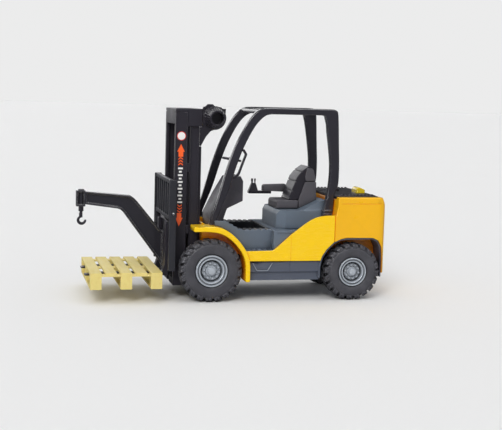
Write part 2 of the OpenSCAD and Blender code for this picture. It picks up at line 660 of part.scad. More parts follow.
module head_pulley() color(dark) front_frame()
    translate([pulley_x, 0, pulley_z]) rotate([90, 0, 0]) difference() {
        rotate_extrude($fn = 48) polygon([[0.5, -1.9], [5, -1.9], [5, -1.4], [4, -0.8],
            [4, 0.8], [5, 1.4], [5, 1.9], [0.5, 1.9]]);
        translate([0, 0, -3]) cylinder(r = 1 + run_gap, h = 6);
    }
module mast_braces() color(black) front_frame()
    for (z = [58, 112]) box(17.4, frame_front, -mast_hw, mast_hw, z, z + 7);
module mast_foot() color(black) front_frame() difference() {
    union() {
        box(-2, frame_front, -26.5, 26.5, mast_bottom, 18.3);
        box(19.8, rail_front, -21.8, 21.8, mast_bottom, 17.7);
    }
    // a notch for the jib's hooks at the lowest position
    box(28.4, 31, -4.2, 4.2, 11, 19);
}
module upright() difference() {
    union() {
        box(9.3, 17.1, 20.4, 26.3, 18.4, 151.1);
        // a thinner pipe behind it, held by two clips
        rod_z(8.2, 23.6, 18.4, 134, 1.2);
        box(7.4, 10, 22.8, 24.4, 130, 132.6);
        box(7.4, 10, 22.8, 24.4, 24, 27);
    }
    // the outer face is sunk between raised edges, the inner face is open
    box(10.3, 16.1, 25.5, 27, 24, 150);
    box(11, 15.4, 20, 24, 17, 148);
}
module rear_upright_left() color(black) front_frame() upright();
module rear_upright_right() color(black) front_frame() mirror([0, 1, 0]) upright();

// ---- Winch and cord ----
winch_x = -3;
winch_z = 159;
shaft_r = 2;
cord_r = 0.4;
lift_cord_x = 26.46;
module winch_bracket() color(black) front_frame() difference() {
    union() {
        // the large left plate, the small right plate and the bar between them
        slab(25.4, 28.2) polygon([[7, 168.2], [4.8, 169.2], [3.2, 170.9], [-1.6, 170.9],
            [-3.2, 169.2], [-9, 168.4], [-10.2, 167.1], [-13.2, 167.1], [-12.7, 161],
            [-11.4, 154.6], [-7.6, 150.6], [0, 147.4], [4, 142.6], [7.4, 136.2], [8.2, 134.5],
            [9.2, 134.5], [9.2, 151.1], [7, 151.1]]);
        slab(-28.2, -25.4)
            polygon([[7, 152], [7, 166], [-8, 166], [-10, 164], [-10, 154], [-8, 152]]);
        box(4, 7, -28.2, 28.2, 151, 158.5);
    }
    rod_y(winch_x, winch_z, -30, 30, shaft_r + run_gap);
    // three shallow round dimples in the left plate
    slab(27.6, 30)
        for (place = [[5.4, 152.8], [-11.4, 165.2], [5.2, 166.6]])
            translate(place) circle(r = 1, $fn = 24);
}
module winch_shaft() color(silver) front_frame() {
    rod_y(winch_x, winch_z, -30.5, 31, shaft_r);
    rod_y(winch_x, winch_z, -7, 7, drum_r);
    // drum flanges
    both_sides() rod_y(winch_x, winch_z, 6.9, 8, 5.6);
}
// A hollow cone, wide at the bracket, with grooves down its side
module winch_knob() color(black) front_frame() translate([winch_x, 0, winch_z]) difference() {
    union() {
        translate([0, 28.5, 0]) rotate([-90, 0, 0]) cylinder(r1 = 10.1, r2 = 7.1, h = 15.3);
        rod_y(0, 0, 28.5, 29.6, 10.3);
    }
    rod_y(0, 0, 28, 31.1, shaft_r + 0.02);
    rod_y(0, 0, 33.2, 50, 5.25);
    for (i = [0:23])
        rotate([0, 15 * i + 4, 0])
            translate([0, 38.6, 8.15])
                rotate([-11.1, 0, 0])
                    cube([0.9, 13.6, 0.9], center = true);
}
module cord_top_run() color("gainsboro") front_frame() {
    start = [winch_x, winch_z + 3.95];
    run = [pulley_x, pulley_z + 4.45] - start;
    translate([start[0], 0, start[1]])
        rotate([0, 90 - atan2(run[1], run[0]), 0])
            cylinder(r = cord_r, h = norm(run), $fn = 24);
}
module lift_cord() color("gainsboro") front_frame() rod_z(lift_cord_x, 0, 58.1, pulley_z, cord_r);

// ---- Lifting carriage ----
carriage_back = 31.2;
carriage_front = 34;
arm_front = carriage_back + 0.1;
shoe_y = mast_hw - 2.8;  // outer face of the guide shoes
module fork_carriage() color(black) front_frame() difference() {
    union() {
        for (z = [28, 60]) box(carriage_back, carriage_front, -40.8, 40.8, z, z + 7);
        box_pair(carriage_back, carriage_front, 26, 32, 28, 67);
        box(carriage_back, carriage_front, -10, 10, 22, 67);
        // arms and guide shoes that run inside the rails
        box_pair(23, arm_front, 18, 21.6, 30, 58);
        for (z = [30, 48]) box_pair(23, 27.5, 21.5, shoe_y, z, z + 10);
        for (z = [30, 60]) box_pair(carriage_back, carriage_front, 17, 27, z, z + 4);
        box_pair(30, carriage_front, 17, 22, 30, 60);
        // the cord's anchor
        box(24.6, arm_front, -3, 3, 64.8, 67);
    }
    // windows for the jib's hooks
    box(25, 36, -3.8, 3.8, 29.8, 46.5);
    box(25, 36, -3.8, 3.8, 47.8, 64.5);
    rod_z(lift_cord_x, 0, 60, 70, 0.6);
}
module load_backrest() color(black) front_frame() {
    box_pair(31.4, 37.5, 41, backrest_hw, 27.2, 106);
    for (z = [70.6, 102.6]) box(33.2, 36.6, -41.1, 41.1, z, z + 3.4);
    for (y = [-34:11.33:34.1]) box(33.6, 36.2, y - 1.6, y + 1.6, 73.9, 102.7);
    box_pair(34.2, 36.6, 38, 41.2, 29, 36);
    box_pair(34.2, 36.6, 38, 41.2, 60, 70.7);
}
module fork(y) translate([0, y, 0])
    slab(-fork_w / 2, fork_w / 2)
        polygon([[34.2, fork_top - 3], [34.2, 67], [37.2, 67], [37.6, 30],
            [39.2, fork_top + 1.2], [40.6, fork_top], [96, fork_top], [107, fork_top - 1.4],
            [107, fork_top - 2.4], [96, fork_top - 3]]);
module fork_left() color(black) front_frame() fork(fork_y);
module fork_right() color(black) front_frame() fork(-fork_y);

// ---- Jib and hook ----
hook_x = 108.6;  // the hook's swivel axis
pin_r = 1.3;
module jib_side() polygon([[34.4, 20.4], [34.4, 58], [38.8, 58.4], [59.9, 83.8], [62.5, 86.4],
    [65.5, 88.5], [105.6, 92.2], [105.6, 80.9], [77, 77.2], [74.4, 76.2], [71.4, 73.4],
    [38.3, 28.7], [38.3, 20.4]]);
module jib() color(black) front_frame() difference() {
    union() {
        slab(-2.4, 2.4) jib_side();
        // raised rim round the arm
        slab(-4.4, 4.4) difference() {
            jib_side();
            offset(delta = -1.7) jib_side();
        }
        // base plate
        box(34.4, 37.4, -9, 9, 20.4, 58);
        // tip block, sunk on both sides
        difference() {
            box(105.2, 113, -4.4, 4.4, 79, 93);
            box_pair(106.5, 111.8, 1, 5, 80.6, 91.4);
        }
        rod_z(hook_x, 0, 80, 92, 2.3);
        // rear hooks
        for (z = [30.2, 48.2]) {
            box(30.6, 34.6, -3.5, 3.5, z, z + 4);
            box(28.9, 30.9, -3.5, 3.5, z - 4.6, z + 4);
        }
    }
    rod_z(hook_x, 0, 70, 100, pin_r + run_gap);
    // a counterbore for the pin's cap
    rod_z(hook_x, 0, 92.1, 94, 2.9);
    // four dimples in the base plate
    both_sides() for (z = [25, 53])
        translate([36.9, 6.4, z]) rotate([0, 90, 0]) cylinder(r = 1.2, h = 3, $fn = 24);
}
module hook() color(black) front_frame() translate([hook_x, 0, 0]) {
    rod_z(0, 0, 72, 92.9, pin_r);
    rod_z(0, 0, 74.5, 78.8, 2.2);
    // the hook's mouth opens to the rear
    slab(-1.3, 1.3) difference() {
        union() {
            translate([-0.5, 66.4]) circle(r = 4.1);
            translate([-1.3, 66.4]) square([3, 6.6]);
        }
        translate([-0.8, 66.8]) circle(r = 2.1);
        polygon([[-0.8, 66.4], [-10, 67.6], [-10, 80], [-1.3, 80], [-1.3, 68.4]]);
    }
}
module hook_nut() color(black) front_frame() difference() {
    rod_z(hook_x, 0, 92.2, 93.8, 2.7);
    rod_z(hook_x, 0, 90, 92.95, pin_r + 0.02);
}

// ---- Pallet ----
module pallet() color(tan) front_frame() {
    rear = 42.8;
    front = 104;
    top = 26.7;
    board_hw = 4.8;
    stringer_hw = 4.9;
    first_x = rear + board_hw;
    block_x = [first_x, (rear + front) / 2, front - board_hw];
    // five top boards
    for (i = [0:4])
        let (x = first_x + i * (front - rear - 2 * board_hw) / 4)
        box(x - board_hw, x + board_hw, -pallet_hw, pallet_hw, top - 2, top);
    // stringer boards and their blocks
    for (y = [-pallet_hw + stringer_hw, 0, pallet_hw - stringer_hw]) {
        box(rear, front, y - stringer_hw, y + stringer_hw, top - 3.1, top - 1.9);
        for (x = block_x)
            box(x - board_hw, x + board_hw, y - stringer_hw, y + stringer_hw, top - 12.6, top - 3);
    }
    // bottom boards
    for (x = block_x)
        box(x - board_hw, x + board_hw, -pallet_hw, pallet_hw, top - 14.1, top - 12.5);
}

chassis_base();
battery_cover();
battery_cover_screw();
battery_cells();
battery_contacts();
body_shell();
counterweight();
fender_left();
fender_right();
front_cowl();
cab_tub();
seat_pedestal();
seat_cushion();
seat_back();
seat_back_pad();
seat_headrest();
armrest();
lever_cluster();
dashboard();
steering_column();
steering_wheel();
overhead_guard();
grab_handle();
deck_panel();
deck_cap();
sound_button();
button_spring();
circuit_board();
speaker();
led_lamps();
body_screws();
mast_rail_left();
mast_rail_right();
mast_head();
mast_braces();
mast_foot();
rear_upright_left();
rear_upright_right();
winch_bracket();
winch_shaft();
winch_knob();
cord_top_run();
lift_cord();
head_pulley();
pulley_pin();
fork_carriage();
load_backrest();
fork_left();
fork_right();
jib();
hook();
hook_nut();
pallet();
front_axle();
front_rims();
front_tyres();
rear_axle();
rear_rims();
rear_tyres();
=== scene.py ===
# A toy forklift truck: moulded body, cab, mast with a cord-and-winch lift, forks and a pallet.
# It stands on the floor at z = 0, with +X to the front (the forks), +Y to its left and +Z up.
# Sizes are in millimetres, turned to metres by MM. Most x places count from the front axle.
import json
import math

import bmesh
import bpy
from mathutils import Matrix, Vector
from mathutils.bvhtree import BVHTree


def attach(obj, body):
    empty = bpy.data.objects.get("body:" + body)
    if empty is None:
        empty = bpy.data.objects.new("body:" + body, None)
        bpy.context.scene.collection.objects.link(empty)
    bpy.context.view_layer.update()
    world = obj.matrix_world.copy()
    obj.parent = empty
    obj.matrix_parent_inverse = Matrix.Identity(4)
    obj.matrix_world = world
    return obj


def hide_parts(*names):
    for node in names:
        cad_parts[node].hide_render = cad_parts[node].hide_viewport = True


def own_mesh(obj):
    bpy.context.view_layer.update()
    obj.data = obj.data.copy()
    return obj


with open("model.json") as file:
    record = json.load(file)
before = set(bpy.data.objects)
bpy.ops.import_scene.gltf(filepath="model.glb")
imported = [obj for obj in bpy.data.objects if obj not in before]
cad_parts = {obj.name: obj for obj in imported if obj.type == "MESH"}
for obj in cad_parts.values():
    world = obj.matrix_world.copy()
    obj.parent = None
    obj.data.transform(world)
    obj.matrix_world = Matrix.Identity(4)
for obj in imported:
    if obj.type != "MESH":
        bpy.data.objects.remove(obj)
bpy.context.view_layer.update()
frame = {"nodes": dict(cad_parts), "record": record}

MM = 0.001
RECORD = frame["record"]
NODES = frame["nodes"]
BODY = {node: body for body, nodes in RECORD["behaviour"]["bodies"].items() for node in nodes}
SLOT = {part["node"]: part["material_slot"] for part in RECORD["subparts"]}
FRONT_AXLE_X = next(round(joint["pos_m"][0] * 1000, 3) for joint in RECORD["behaviour"]["joints"]
                    if joint["name"] == "front_axle_spin")
SIDES = (("left", 1), ("right", -1))


# ------------------------------------------------------------------ shader helpers
MATERIAL = {}


def srgb(red, green, blue):
    """Linear colour from 0-255 sRGB values."""
    def linear(value):
        value = value / 255.0
        return value / 12.92 if value <= 0.04045 else ((value + 0.055) / 1.055) ** 2.4
    return (linear(red), linear(green), linear(blue))


def tone(rgb, gain, lift=0.0):
    return tuple(min(1, c * gain + lift) for c in rgb)


class Graph:
    """A node tree with short ways to add nodes. A value may be a number or an output socket."""
    def __init__(self, tree):
        self.tree = tree

    def put(self, socket, value):
        if isinstance(value, bpy.types.NodeSocket):
            self.tree.links.new(value, socket)
        else:
            socket.default_value = value

    def node(self, kind, inputs=None, **props):
        node = self.tree.nodes.new(kind)
        for key, value in props.items():
            setattr(node, key, value)
        for key, value in (inputs or {}).items():
            self.put(node.inputs[key], value)
        return node

    def math(self, operation, a, b=0.0):
        return self.node("ShaderNodeMath", {0: a, 1: b}, operation=operation).outputs[0]

    def dot(self, a, b):
        node = self.node("ShaderNodeVectorMath", {0: a, 1: b}, operation="DOT_PRODUCT")
        return node.outputs["Value"]

    def remap(self, value, span, to=(0.0, 1.0), **props):
        inputs = {"Value": value, "From Min": span[0], "From Max": span[1],
                  "To Min": to[0], "To Max": to[1]}
        return self.node("ShaderNodeMapRange", inputs, **props).outputs[0]

    def mix(self, factor, a, b):
        a, b = ((*c, 1) if isinstance(c, tuple) else c for c in (a, b))
        # inputs 6 and 7 are the two colours, output 2 the mixed one
        return self.node("ShaderNodeMix", {0: factor, 6: a, 7: b}, data_type="RGBA").outputs[2]


class Material(Graph):
    """A Principled material on object coordinates. Radii and distances are in metres."""
    def __init__(self, name):
        material = bpy.data.materials.new(name)
        material.use_nodes = True
        super().__init__(material.node_tree)
        self.tree.nodes.clear()
        output = self.node("ShaderNodeOutputMaterial")
        self.bsdf = self.node("ShaderNodeBsdfPrincipled")
        self.put(output.inputs["Surface"], self.bsdf.outputs[0])
        self.coords = self.node("ShaderNodeTexCoord").outputs["Object"]
        MATERIAL[name] = material

    def surface(self, inputs):
        for key, value in inputs.items():
            self.put(self.bsdf.inputs[key], value)

    def noise(self, scale, detail, rough, coords=None):
        inputs = {"Scale": scale, "Detail": detail, "Roughness": rough,
                  "Vector": coords or self.coords}
        return self.node("ShaderNodeTexNoise", inputs).outputs["Fac"]

    def mapping(self, scale, rotation=(0, 0, 0)):
        inputs = {"Scale": scale, "Rotation": rotation, "Vector": self.coords}
        return self.node("ShaderNodeMapping", inputs).outputs[0]

    def bump(self, height, strength, distance, normal=None):
        inputs = {"Strength": strength, "Distance": distance, "Height": height}
        if normal is not None:
            inputs["Normal"] = normal
        return self.node("ShaderNodeBump", inputs).outputs[0]

    def occlusion(self, distance):
        node = self.node("ShaderNodeAmbientOcclusion", {"Distance": distance}, samples=4)
        return node.outputs["AO"]

    def bevel(self, radius):
        return self.node("ShaderNodeBevel", {"Radius": radius}, samples=4).outputs[0]

    def edge_mask(self, bevel):
        """1 on the rounded edges, 0 on the flats."""
        geometry = self.node("ShaderNodeNewGeometry")
        return self.remap(self.dot(bevel, geometry.outputs["Normal"]), span=(0.995, 0.80))


# ------------------------------------------------------------------ kinds of material
def floor_zone(mat, half_width, x_from, x_to):
    """1 inside a band of the plan, between two x places and close to the middle; in mm."""
    place = mat.node("ShaderNodeSeparateXYZ", {0: mat.coords}).outputs
    in_y = mat.math("LESS_THAN", mat.math("ABSOLUTE", place[1]), half_width * MM)
    past_start = mat.math("GREATER_THAN", place[0], x_from * MM)
    before_end = mat.math("LESS_THAN", place[0], x_to * MM)
    return mat.math("MULTIPLY", in_y, mat.math("MULTIPLY", past_start, before_end))


def plastic(name, rgb, rough=0.3, grain=0.25, grain_scale=2600, vary=0.05, edge=0.12, bevel=0.25,
            coat=0.0, spec=0.5, scuff=0.12, subsurface=0.0, shade_zone=None, shade_zone_rgb=None,
            painted_shade_rgb=None, painted_shade_reach=9.0, rub_and_highlight=0.35):
    """Moulded plastic.
    rough, scuff: base roughness, and what scratches add to it
    grain, grain_scale: strength and fineness of the surface grain
    vary: how far the colour drifts either way
    edge, rub, bevel: how much the paler edges show (partly rubbed, partly a painted highlight),
    how pale they are, and the edge radius in mm
    deep, painted_shade_reach: painted shade colour where walls close in, and how far apart they
    may be in mm
    zone, shade_zone_rgb: a band of the plan (see floor_zone) and the painted shade colour for it
    """
    mat = Material(name)
    rounded = mat.bevel(bevel * MM)
    broad = mat.noise(scale=26, detail=3, rough=0.55)
    mottle = mat.noise(scale=240, detail=3, rough=0.6)
    colour = mat.mix(mat.remap(broad, span=(0.3, 0.7)), tone(rgb, 1 - vary), tone(rgb, 1 + vary))
    # faint flow mottling from the mould
    colour = mat.mix(mat.remap(mottle, span=(0.35, 0.65), to=(0.0, 0.35)), colour,
                     tone(rgb, gain=0.93))
    # edges a little lighter, partly rubbed and partly a painted highlight, broken up so the line
    # is not even
    wear_and_highlight = mat.edge_mask(rounded)
    broken = mat.noise(scale=520, detail=2, rough=0.6)
    wear_and_highlight = mat.math("MULTIPLY", wear_and_highlight, mat.remap(broken, span=(0.35, 0.7), to=(0.15, 1.0)))
    pale = tuple(min(1.0, c + (1 - c) * rub_and_highlight + 0.02) for c in rgb)
    colour = mat.mix(mat.math("MULTIPLY", wear_and_highlight, edge), colour, pale)
    if painted_shade_rgb is not None:
        # painted shade: the colour goes towards the shade colour where walls close in, by ambient
        # occlusion
        painted_shade_mask = mat.remap(mat.occlusion(painted_shade_reach * MM), span=(0.15, 0.75), to=(1.0, 0.0))
        colour = mat.mix(painted_shade_mask, colour, painted_shade_rgb)
    # painted shade: a band of the plan darkened where little light reaches
    if shade_zone is not None:
        colour = mat.mix(floor_zone(mat, *shade_zone), colour, shade_zone_rgb)
    # handling marks: fine directional scratches, and smudges
    scratch = mat.noise(scale=900, detail=4, rough=0.7,
                        coords=mat.mapping(scale=(0.12, 1.0, 1.0), rotation=(0.3, 0.2, 0.5)))
    smudge = mat.noise(scale=60, detail=4, rough=0.6)
    roughness = mat.math("ADD", mat.remap(scratch, span=(0.45, 0.75), to=(0.0, scuff)),
                         mat.remap(smudge, span=(0.3, 0.7), to=(rough * 0.85, rough * 1.2)))
    normal = mat.bump(mat.noise(scale=grain_scale, detail=3, rough=0.6),
                      strength=grain, distance=0.00006, normal=rounded)
    # very gentle sink and waviness of a moulded wall
    normal = mat.bump(mat.noise(scale=70, detail=1, rough=0.4),
                      strength=0.12, distance=0.0006, normal=normal)
    mat.surface({"Base Color": colour, "Roughness": roughness, "Normal": normal,
                 "Specular IOR Level": spec})
    if coat:
        mat.surface({"Coat Weight": coat, "Coat Roughness": 0.12})
    if subsurface:
        mat.surface({"Subsurface Weight": subsurface, "Subsurface Radius": (1.0, 0.6, 0.2),
                     "Subsurface Scale": 0.0006})


def rubber(name, rgb):
    """Dusty rubber; its edges are paler, partly worn and partly a painted highlight, and painted
    shade makes it nearly black between the lugs.
    """
    mat = Material(name)
    rounded = mat.bevel(0.2 * MM)
    dust = mat.noise(scale=110, detail=5, rough=0.65)
    fine = mat.noise(scale=1500, detail=3, rough=0.6)
    colour = mat.mix(mat.remap(dust, span=(0.42, 0.72), to=(0.0, 0.55)), rgb,
                     tone(rgb, gain=1.5, lift=0.012))
    colour = mat.mix(mat.remap(fine, span=(0.4, 0.6), to=(0.0, 0.25)), colour, tone(rgb, gain=0.7))
    # edges paler: partly worn rubber, partly a painted highlight
    wear_and_highlight = mat.edge_mask(rounded)
    colour = mat.mix(mat.math("MULTIPLY", wear_and_highlight, 0.5), colour, tone(rgb, gain=2.6, lift=0.03))
    # painted shade: nearly black where the lugs close in, by ambient occlusion
    painted_shade_mask = mat.remap(mat.occlusion(2.5 * MM), span=(0.25, 0.9), to=(1.0, 0.0))
    colour = mat.mix(painted_shade_mask, colour, tone(rgb, gain=0.12))
    roughness = mat.remap(dust, span=(0.3, 0.7), to=(0.42, 0.62))
    normal = mat.bump(fine, strength=0.35, distance=0.00008, normal=rounded)
    normal = mat.bump(mat.noise(scale=320, detail=2, rough=0.5),
                      strength=0.25, distance=0.0002, normal=normal)
    mat.surface({"Base Color": colour, "Roughness": roughness, "Normal": normal,
                 "Specular IOR Level": 0.4, "Sheen Weight": 0.04})


def metal(name, rgb, rough):
    """Brushed metal with duller spots."""
    mat = Material(name)
    rounded = mat.bevel(0.15 * MM)
    brushed = mat.noise(scale=700, detail=3, rough=0.6, coords=mat.mapping(scale=(1, 1, 14)))
    spots = mat.noise(scale=180, detail=4, rough=0.6)
    colour = mat.mix(mat.remap(spots, span=(0.45, 0.75), to=(0, 0.4)), rgb, tone(rgb, gain=0.72))
    roughness = mat.remap(brushed, span=(0.3, 0.7), to=(rough * 0.7, rough * 1.5))
    normal = mat.bump(brushed, strength=0.2, distance=0.00003, normal=rounded)
    mat.surface({"Base Color": colour, "Metallic": 1.0, "Roughness": roughness, "Normal": normal})


def twisted_cord(name, rgb):
    """Cord fibre: diagonal bands stand for the twist."""
    mat = Material(name)
    wave = mat.node("ShaderNodeTexWave", {"Scale": 900, "Distortion": 1.5, "Vector": mat.coords},
                    wave_type="BANDS", bands_direction="DIAGONAL")
    strands = wave.outputs["Fac"]
    mat.surface({"Base Color": mat.mix(strands, tone(rgb, gain=0.55), rgb),
                 "Normal": mat.bump(strands, strength=0.8, distance=0.0001),
                 "Roughness": 0.85, "Sheen Weight": 0.3})


def wood_look(name, rgb):
    """Plastic with wood-like lines along Y."""
    mat = Material(name)
    rounded = mat.bevel(0.3 * MM)
    lines = mat.noise(scale=240, detail=5, rough=0.65, coords=mat.mapping(scale=(1.0, 0.10, 1.0)))
    broad = mat.noise(scale=40, detail=3, rough=0.5)
    browner = tuple(c * gain for c, gain in zip(rgb, (0.82, 0.76, 0.6)))
    colour = mat.mix(mat.remap(broad, span=(0.3, 0.7)), tone(rgb, gain=0.94), rgb)
    colour = mat.mix(mat.remap(lines, span=(0.48, 0.75), to=(0.0, 0.45)), colour, browner)
    # edges a little paler: partly worn, partly a painted highlight
    colour = mat.mix(mat.math("MULTIPLY", mat.edge_mask(rounded), 0.25), colour,
                     tone(rgb, gain=1.12))
    roughness = mat.remap(lines, span=(0.3, 0.7), to=(0.42, 0.6))
    normal = mat.bump(lines, strength=0.35, distance=0.00018, normal=rounded)
    normal = mat.bump(mat.noise(scale=2400, detail=2, rough=0.5),
                      strength=0.2, distance=0.00005, normal=normal)
    mat.surface({"Base Color": colour, "Roughness": roughness, "Normal": normal,
                 "Subsurface Weight": 0.05, "Subsurface Scale": 0.0005})


def lamp(name, rgb):
    """Clear coloured plastic with a faint glow."""
    mat = Material(name)
    ripple = mat.noise(scale=900, detail=2, rough=0.5)
    colour = mat.mix(ripple, tone(rgb, gain=0.7), rgb)
    normal = mat.bump(ripple, strength=0.2, distance=0.0001, normal=mat.bevel(0.2 * MM))
    mat.surface({"Base Color": colour, "Roughness": 0.12, "Transmission Weight": 0.35,
                 "Emission Color": (*rgb, 1), "Emission Strength": 0.25, "Normal": normal})


def circuit(name, rgb):
    """Circuit board: paler raised tracks along the borders of a cell pattern."""
    mat = Material(name)
    cells = mat.node("ShaderNodeTexVoronoi", {"Scale": 320, "Vector": mat.coords},
                     feature="DISTANCE_TO_EDGE")
    tracks = mat.remap(cells.outputs["Distance"], span=(0.03, 0.06), to=(1.0, 0.0))
    mat.surface({"Base Color": mat.mix(tracks, rgb, tone(rgb, gain=1.7)),
                 "Normal": mat.bump(tracks, strength=0.3, distance=0.00005), "Roughness": 0.35})


# ------------------------------------------------------------------ the materials
# orange for the painted shade of the yellow plastics where their walls close in
SHADE_ORANGE = srgb(255, 122, 0)
# console greys: painted shade where walls close in, and edges paler, partly rubbed and partly a
# painted highlight
CONSOLE = dict(rough=0.38, grain=0.28, vary=0.05, edge=0.35, bevel=0.35, spec=0.4, rub_and_highlight=0.2,
               painted_shade_rgb=srgb(34, 40, 48))
DECAL = dict(rough=0.35, grain=0.05, edge=0.0, bevel=0.05, scuff=0.2)
# half width, rear x and front x of the painted shade on the cab tub's floor
CAB_FLOOR_SHADE = (36.4, FRONT_AXLE_X - 56.2, FRONT_AXLE_X - 9)

plastic("yellow_body", srgb(255, 207, 8), rough=0.24, grain=0.10, coat=0.25, vary=0.03, edge=0.25,
        bevel=0.35, subsurface=0.04, painted_shade_rgb=SHADE_ORANGE, painted_shade_reach=14)
# the weight is a deeper amber copy of the body yellow: painted shade for the light falling off
# towards the rear
plastic("yellow_weight", srgb(245, 184, 2), rough=0.30, grain=0.14, coat=0.15, vary=0.035,
        edge=0.22, bevel=0.4, subsurface=0.04, painted_shade_rgb=SHADE_ORANGE, painted_shade_reach=14)
plastic("button_yellow", srgb(226, 196, 14), rough=0.20, grain=0.05, coat=0.4, vary=0.02,
        edge=0.2, bevel=0.3)
# the paler edges of the black plastics are partly rubbed and partly a painted highlight;
# guard_gloss paints the bright lines along the guard's and jib's edges
plastic("black_gloss", srgb(42, 40, 47), rough=0.17, grain=0.06, coat=0.4, vary=0.12, edge=0.5,
        bevel=0.4, scuff=0.10, spec=0.4, rub_and_highlight=0.09)
plastic("guard_gloss", srgb(45, 44, 51), rough=0.15, grain=0.03, coat=0.6, vary=0.10, edge=1.0,
        bevel=1.1, scuff=0.05, spec=0.4, rub_and_highlight=0.24)
plastic("deck_black", srgb(33, 31, 37), rough=0.36, grain=0.3, vary=0.08, edge=0.9, bevel=0.3,
        scuff=0.14, spec=0.35, rub_and_highlight=0.16)
plastic("black_satin", srgb(46, 44, 52), rough=0.33, grain=0.22, vary=0.10, edge=0.7, bevel=0.3,
        scuff=0.14, spec=0.35, rub_and_highlight=0.11)
# these greys take painted shade where walls close in
plastic("dark_grey", srgb(70, 68, 76), rough=0.42, grain=0.45, grain_scale=1900, vary=0.06,
        edge=0.4, bevel=0.3, spec=0.4, rub_and_highlight=0.12, painted_shade_rgb=srgb(20, 19, 21))
plastic("seat_grey", srgb(86, 84, 90), rough=0.48, grain=0.55, grain_scale=1500, vary=0.05,
        edge=0.4, bevel=0.35, spec=0.4, rub_and_highlight=0.14, painted_shade_rgb=srgb(24, 23, 24))
plastic("slate_grey", srgb(86, 92, 106), rough=0.36, grain=0.25, vary=0.05, edge=0.5, bevel=0.3,
        spec=0.4, rub_and_highlight=0.2, painted_shade_rgb=srgb(26, 28, 34))
plastic("console_grey", srgb(100, 112, 126), **CONSOLE)
# the cab tub's floor and footwell are darkened with painted shade
plastic("console_tub", srgb(98, 109, 123), shade_zone=CAB_FLOOR_SHADE, shade_zone_rgb=srgb(34, 37, 42), **CONSOLE)
plastic("outline_grey", srgb(132, 139, 150), rough=0.35, grain=0.1, vary=0.04, edge=0.3,
        bevel=0.1, spec=0.4)
# paler mast edges: partly rubbed, partly a painted highlight
plastic("mast_grey", srgb(46, 47, 53), rough=0.36, grain=0.25, vary=0.08, edge=0.7, bevel=0.3,
        scuff=0.14, spec=0.4, rub_and_highlight=0.16)
# rim: lips painted paler as a painted highlight, and painted shade dark in the grooves
plastic("rim_silver", srgb(170, 177, 186), rough=0.30, grain=0.12, vary=0.04, edge=0.6,
        bevel=0.2, coat=0.2, rub_and_highlight=0.4, painted_shade_rgb=srgb(22, 26, 32), painted_shade_reach=3.2)
rubber("tyre_rubber", srgb(68, 68, 74))
metal("steel", (0.62, 0.62, 0.64), rough=0.28)
metal("brass", (0.80, 0.62, 0.25), rough=0.3)
twisted_cord("cord", srgb(214, 212, 205))
wood_look("pallet_tan", srgb(232, 213, 132))
lamp("lamp_red", srgb(225, 20, 16))
circuit("board_green", srgb(22, 96, 48))
plastic("decal_orange", srgb(255, 98, 26), vary=0.03, **DECAL)
plastic("decal_white", srgb(238, 238, 236), vary=0.02, **DECAL)
plastic("decal_red", srgb(214, 38, 30), vary=0.03, **DECAL)
plastic("gap_black", srgb(14, 14, 15), rough=0.7, grain=0.2, vary=0.1, edge=0.0, bevel=0.05)


# ------------------------------------------------------------------ mesh helpers
def to_mesh(bm, name):
    mesh = bpy.data.meshes.new(name)
    bm.to_mesh(mesh)
    bm.free()
    return mesh


def add(name, mesh, body, material, sharp_angle, weighted=False, slot=None):
    """Put a mesh in the scene, smooth below sharp_angle degrees, riding on a moving body."""
    obj = bpy.data.objects.new(name, mesh)
    bpy.context.scene.collection.objects.link(obj)
    for face in mesh.polygons:
        face.use_smooth = True
    mesh.set_sharp_from_angle(angle=math.radians(sharp_angle))
    if weighted:
        modifier = obj.modifiers.new("wn", "WEIGHTED_NORMAL")
        modifier.keep_sharp = True
        modifier.weight = 60
    mesh.materials.clear()
    mesh.materials.append(MATERIAL[material])
    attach(obj, body)
    slot = slot or material
    return obj


def add_solid(name, bm, body, material, sharp_angle):
    """Add a closed mesh with its faces turned outwards."""
    bmesh.ops.recalc_face_normals(bm, faces=bm.faces)
    return add(name, to_mesh(bm, name), body, material, sharp_angle)


def skin(bm, rows, joined=False):
    """Quads between neighbouring loops of vertices.
    Joined runs on from the last loop to the first; otherwise both ends are capped."""
    following = rows[1:] + rows[:1] if joined else rows[1:]
    for near, far in zip(rows, following):
        for i in range(len(near)):
            k = (i + 1) % len(near)
            bm.faces.new((near[i], near[k], far[k], far[i]))
    if not joined:
        bm.faces.new(rows[0][::-1])
        bm.faces.new(rows[-1])


def angles(steps):
    return [2 * math.pi * i / steps for i in range(steps)]


def revolve(profile, steps):
    """A solid round the Y axis from (radius, y) points; a radius of 0 is a single point."""
    bm = bmesh.new()
    rings = []
    for r, y in profile:
        if r < 1e-9:
            rings.append([bm.verts.new((0, y * MM, 0))])
        else:
            rings.append([bm.verts.new((r * MM * math.sin(a), y * MM, r * MM * math.cos(a)))
                          for a in angles(steps)])
    for near, far in zip(rings, rings[1:]):
        for i in range(steps):
            k = (i + 1) % steps
            if len(near) == 1:
                bm.faces.new((near[0], far[i], far[k]))
            elif len(far) == 1:
                bm.faces.new((near[k], near[i], far[0]))
            else:
                bm.faces.new((near[i], far[i], far[k], near[k]))
    bmesh.ops.recalc_face_normals(bm, faces=bm.faces)
    return bm


# ------------------------------------------------------------------ tyres
WHEELBASE = 128
TYRE_WIDTH = 17.5
TYRE_OUTER_Y = 48 - 0.2
TYRE_Y = TYRE_OUTER_Y - TYRE_WIDTH / 2
BEAD_RADIUS = 14          # of the front tyre
LUG_ROWS = 20             # lugs round each half of the tread
# wheels at one end: axle x, tyre radius, rim size against the front rim
WHEELS = {
    "front": (FRONT_AXLE_X, 27.5, 1.0),
    "rear": (FRONT_AXLE_X - WHEELBASE, 25.5, 0.91),
}

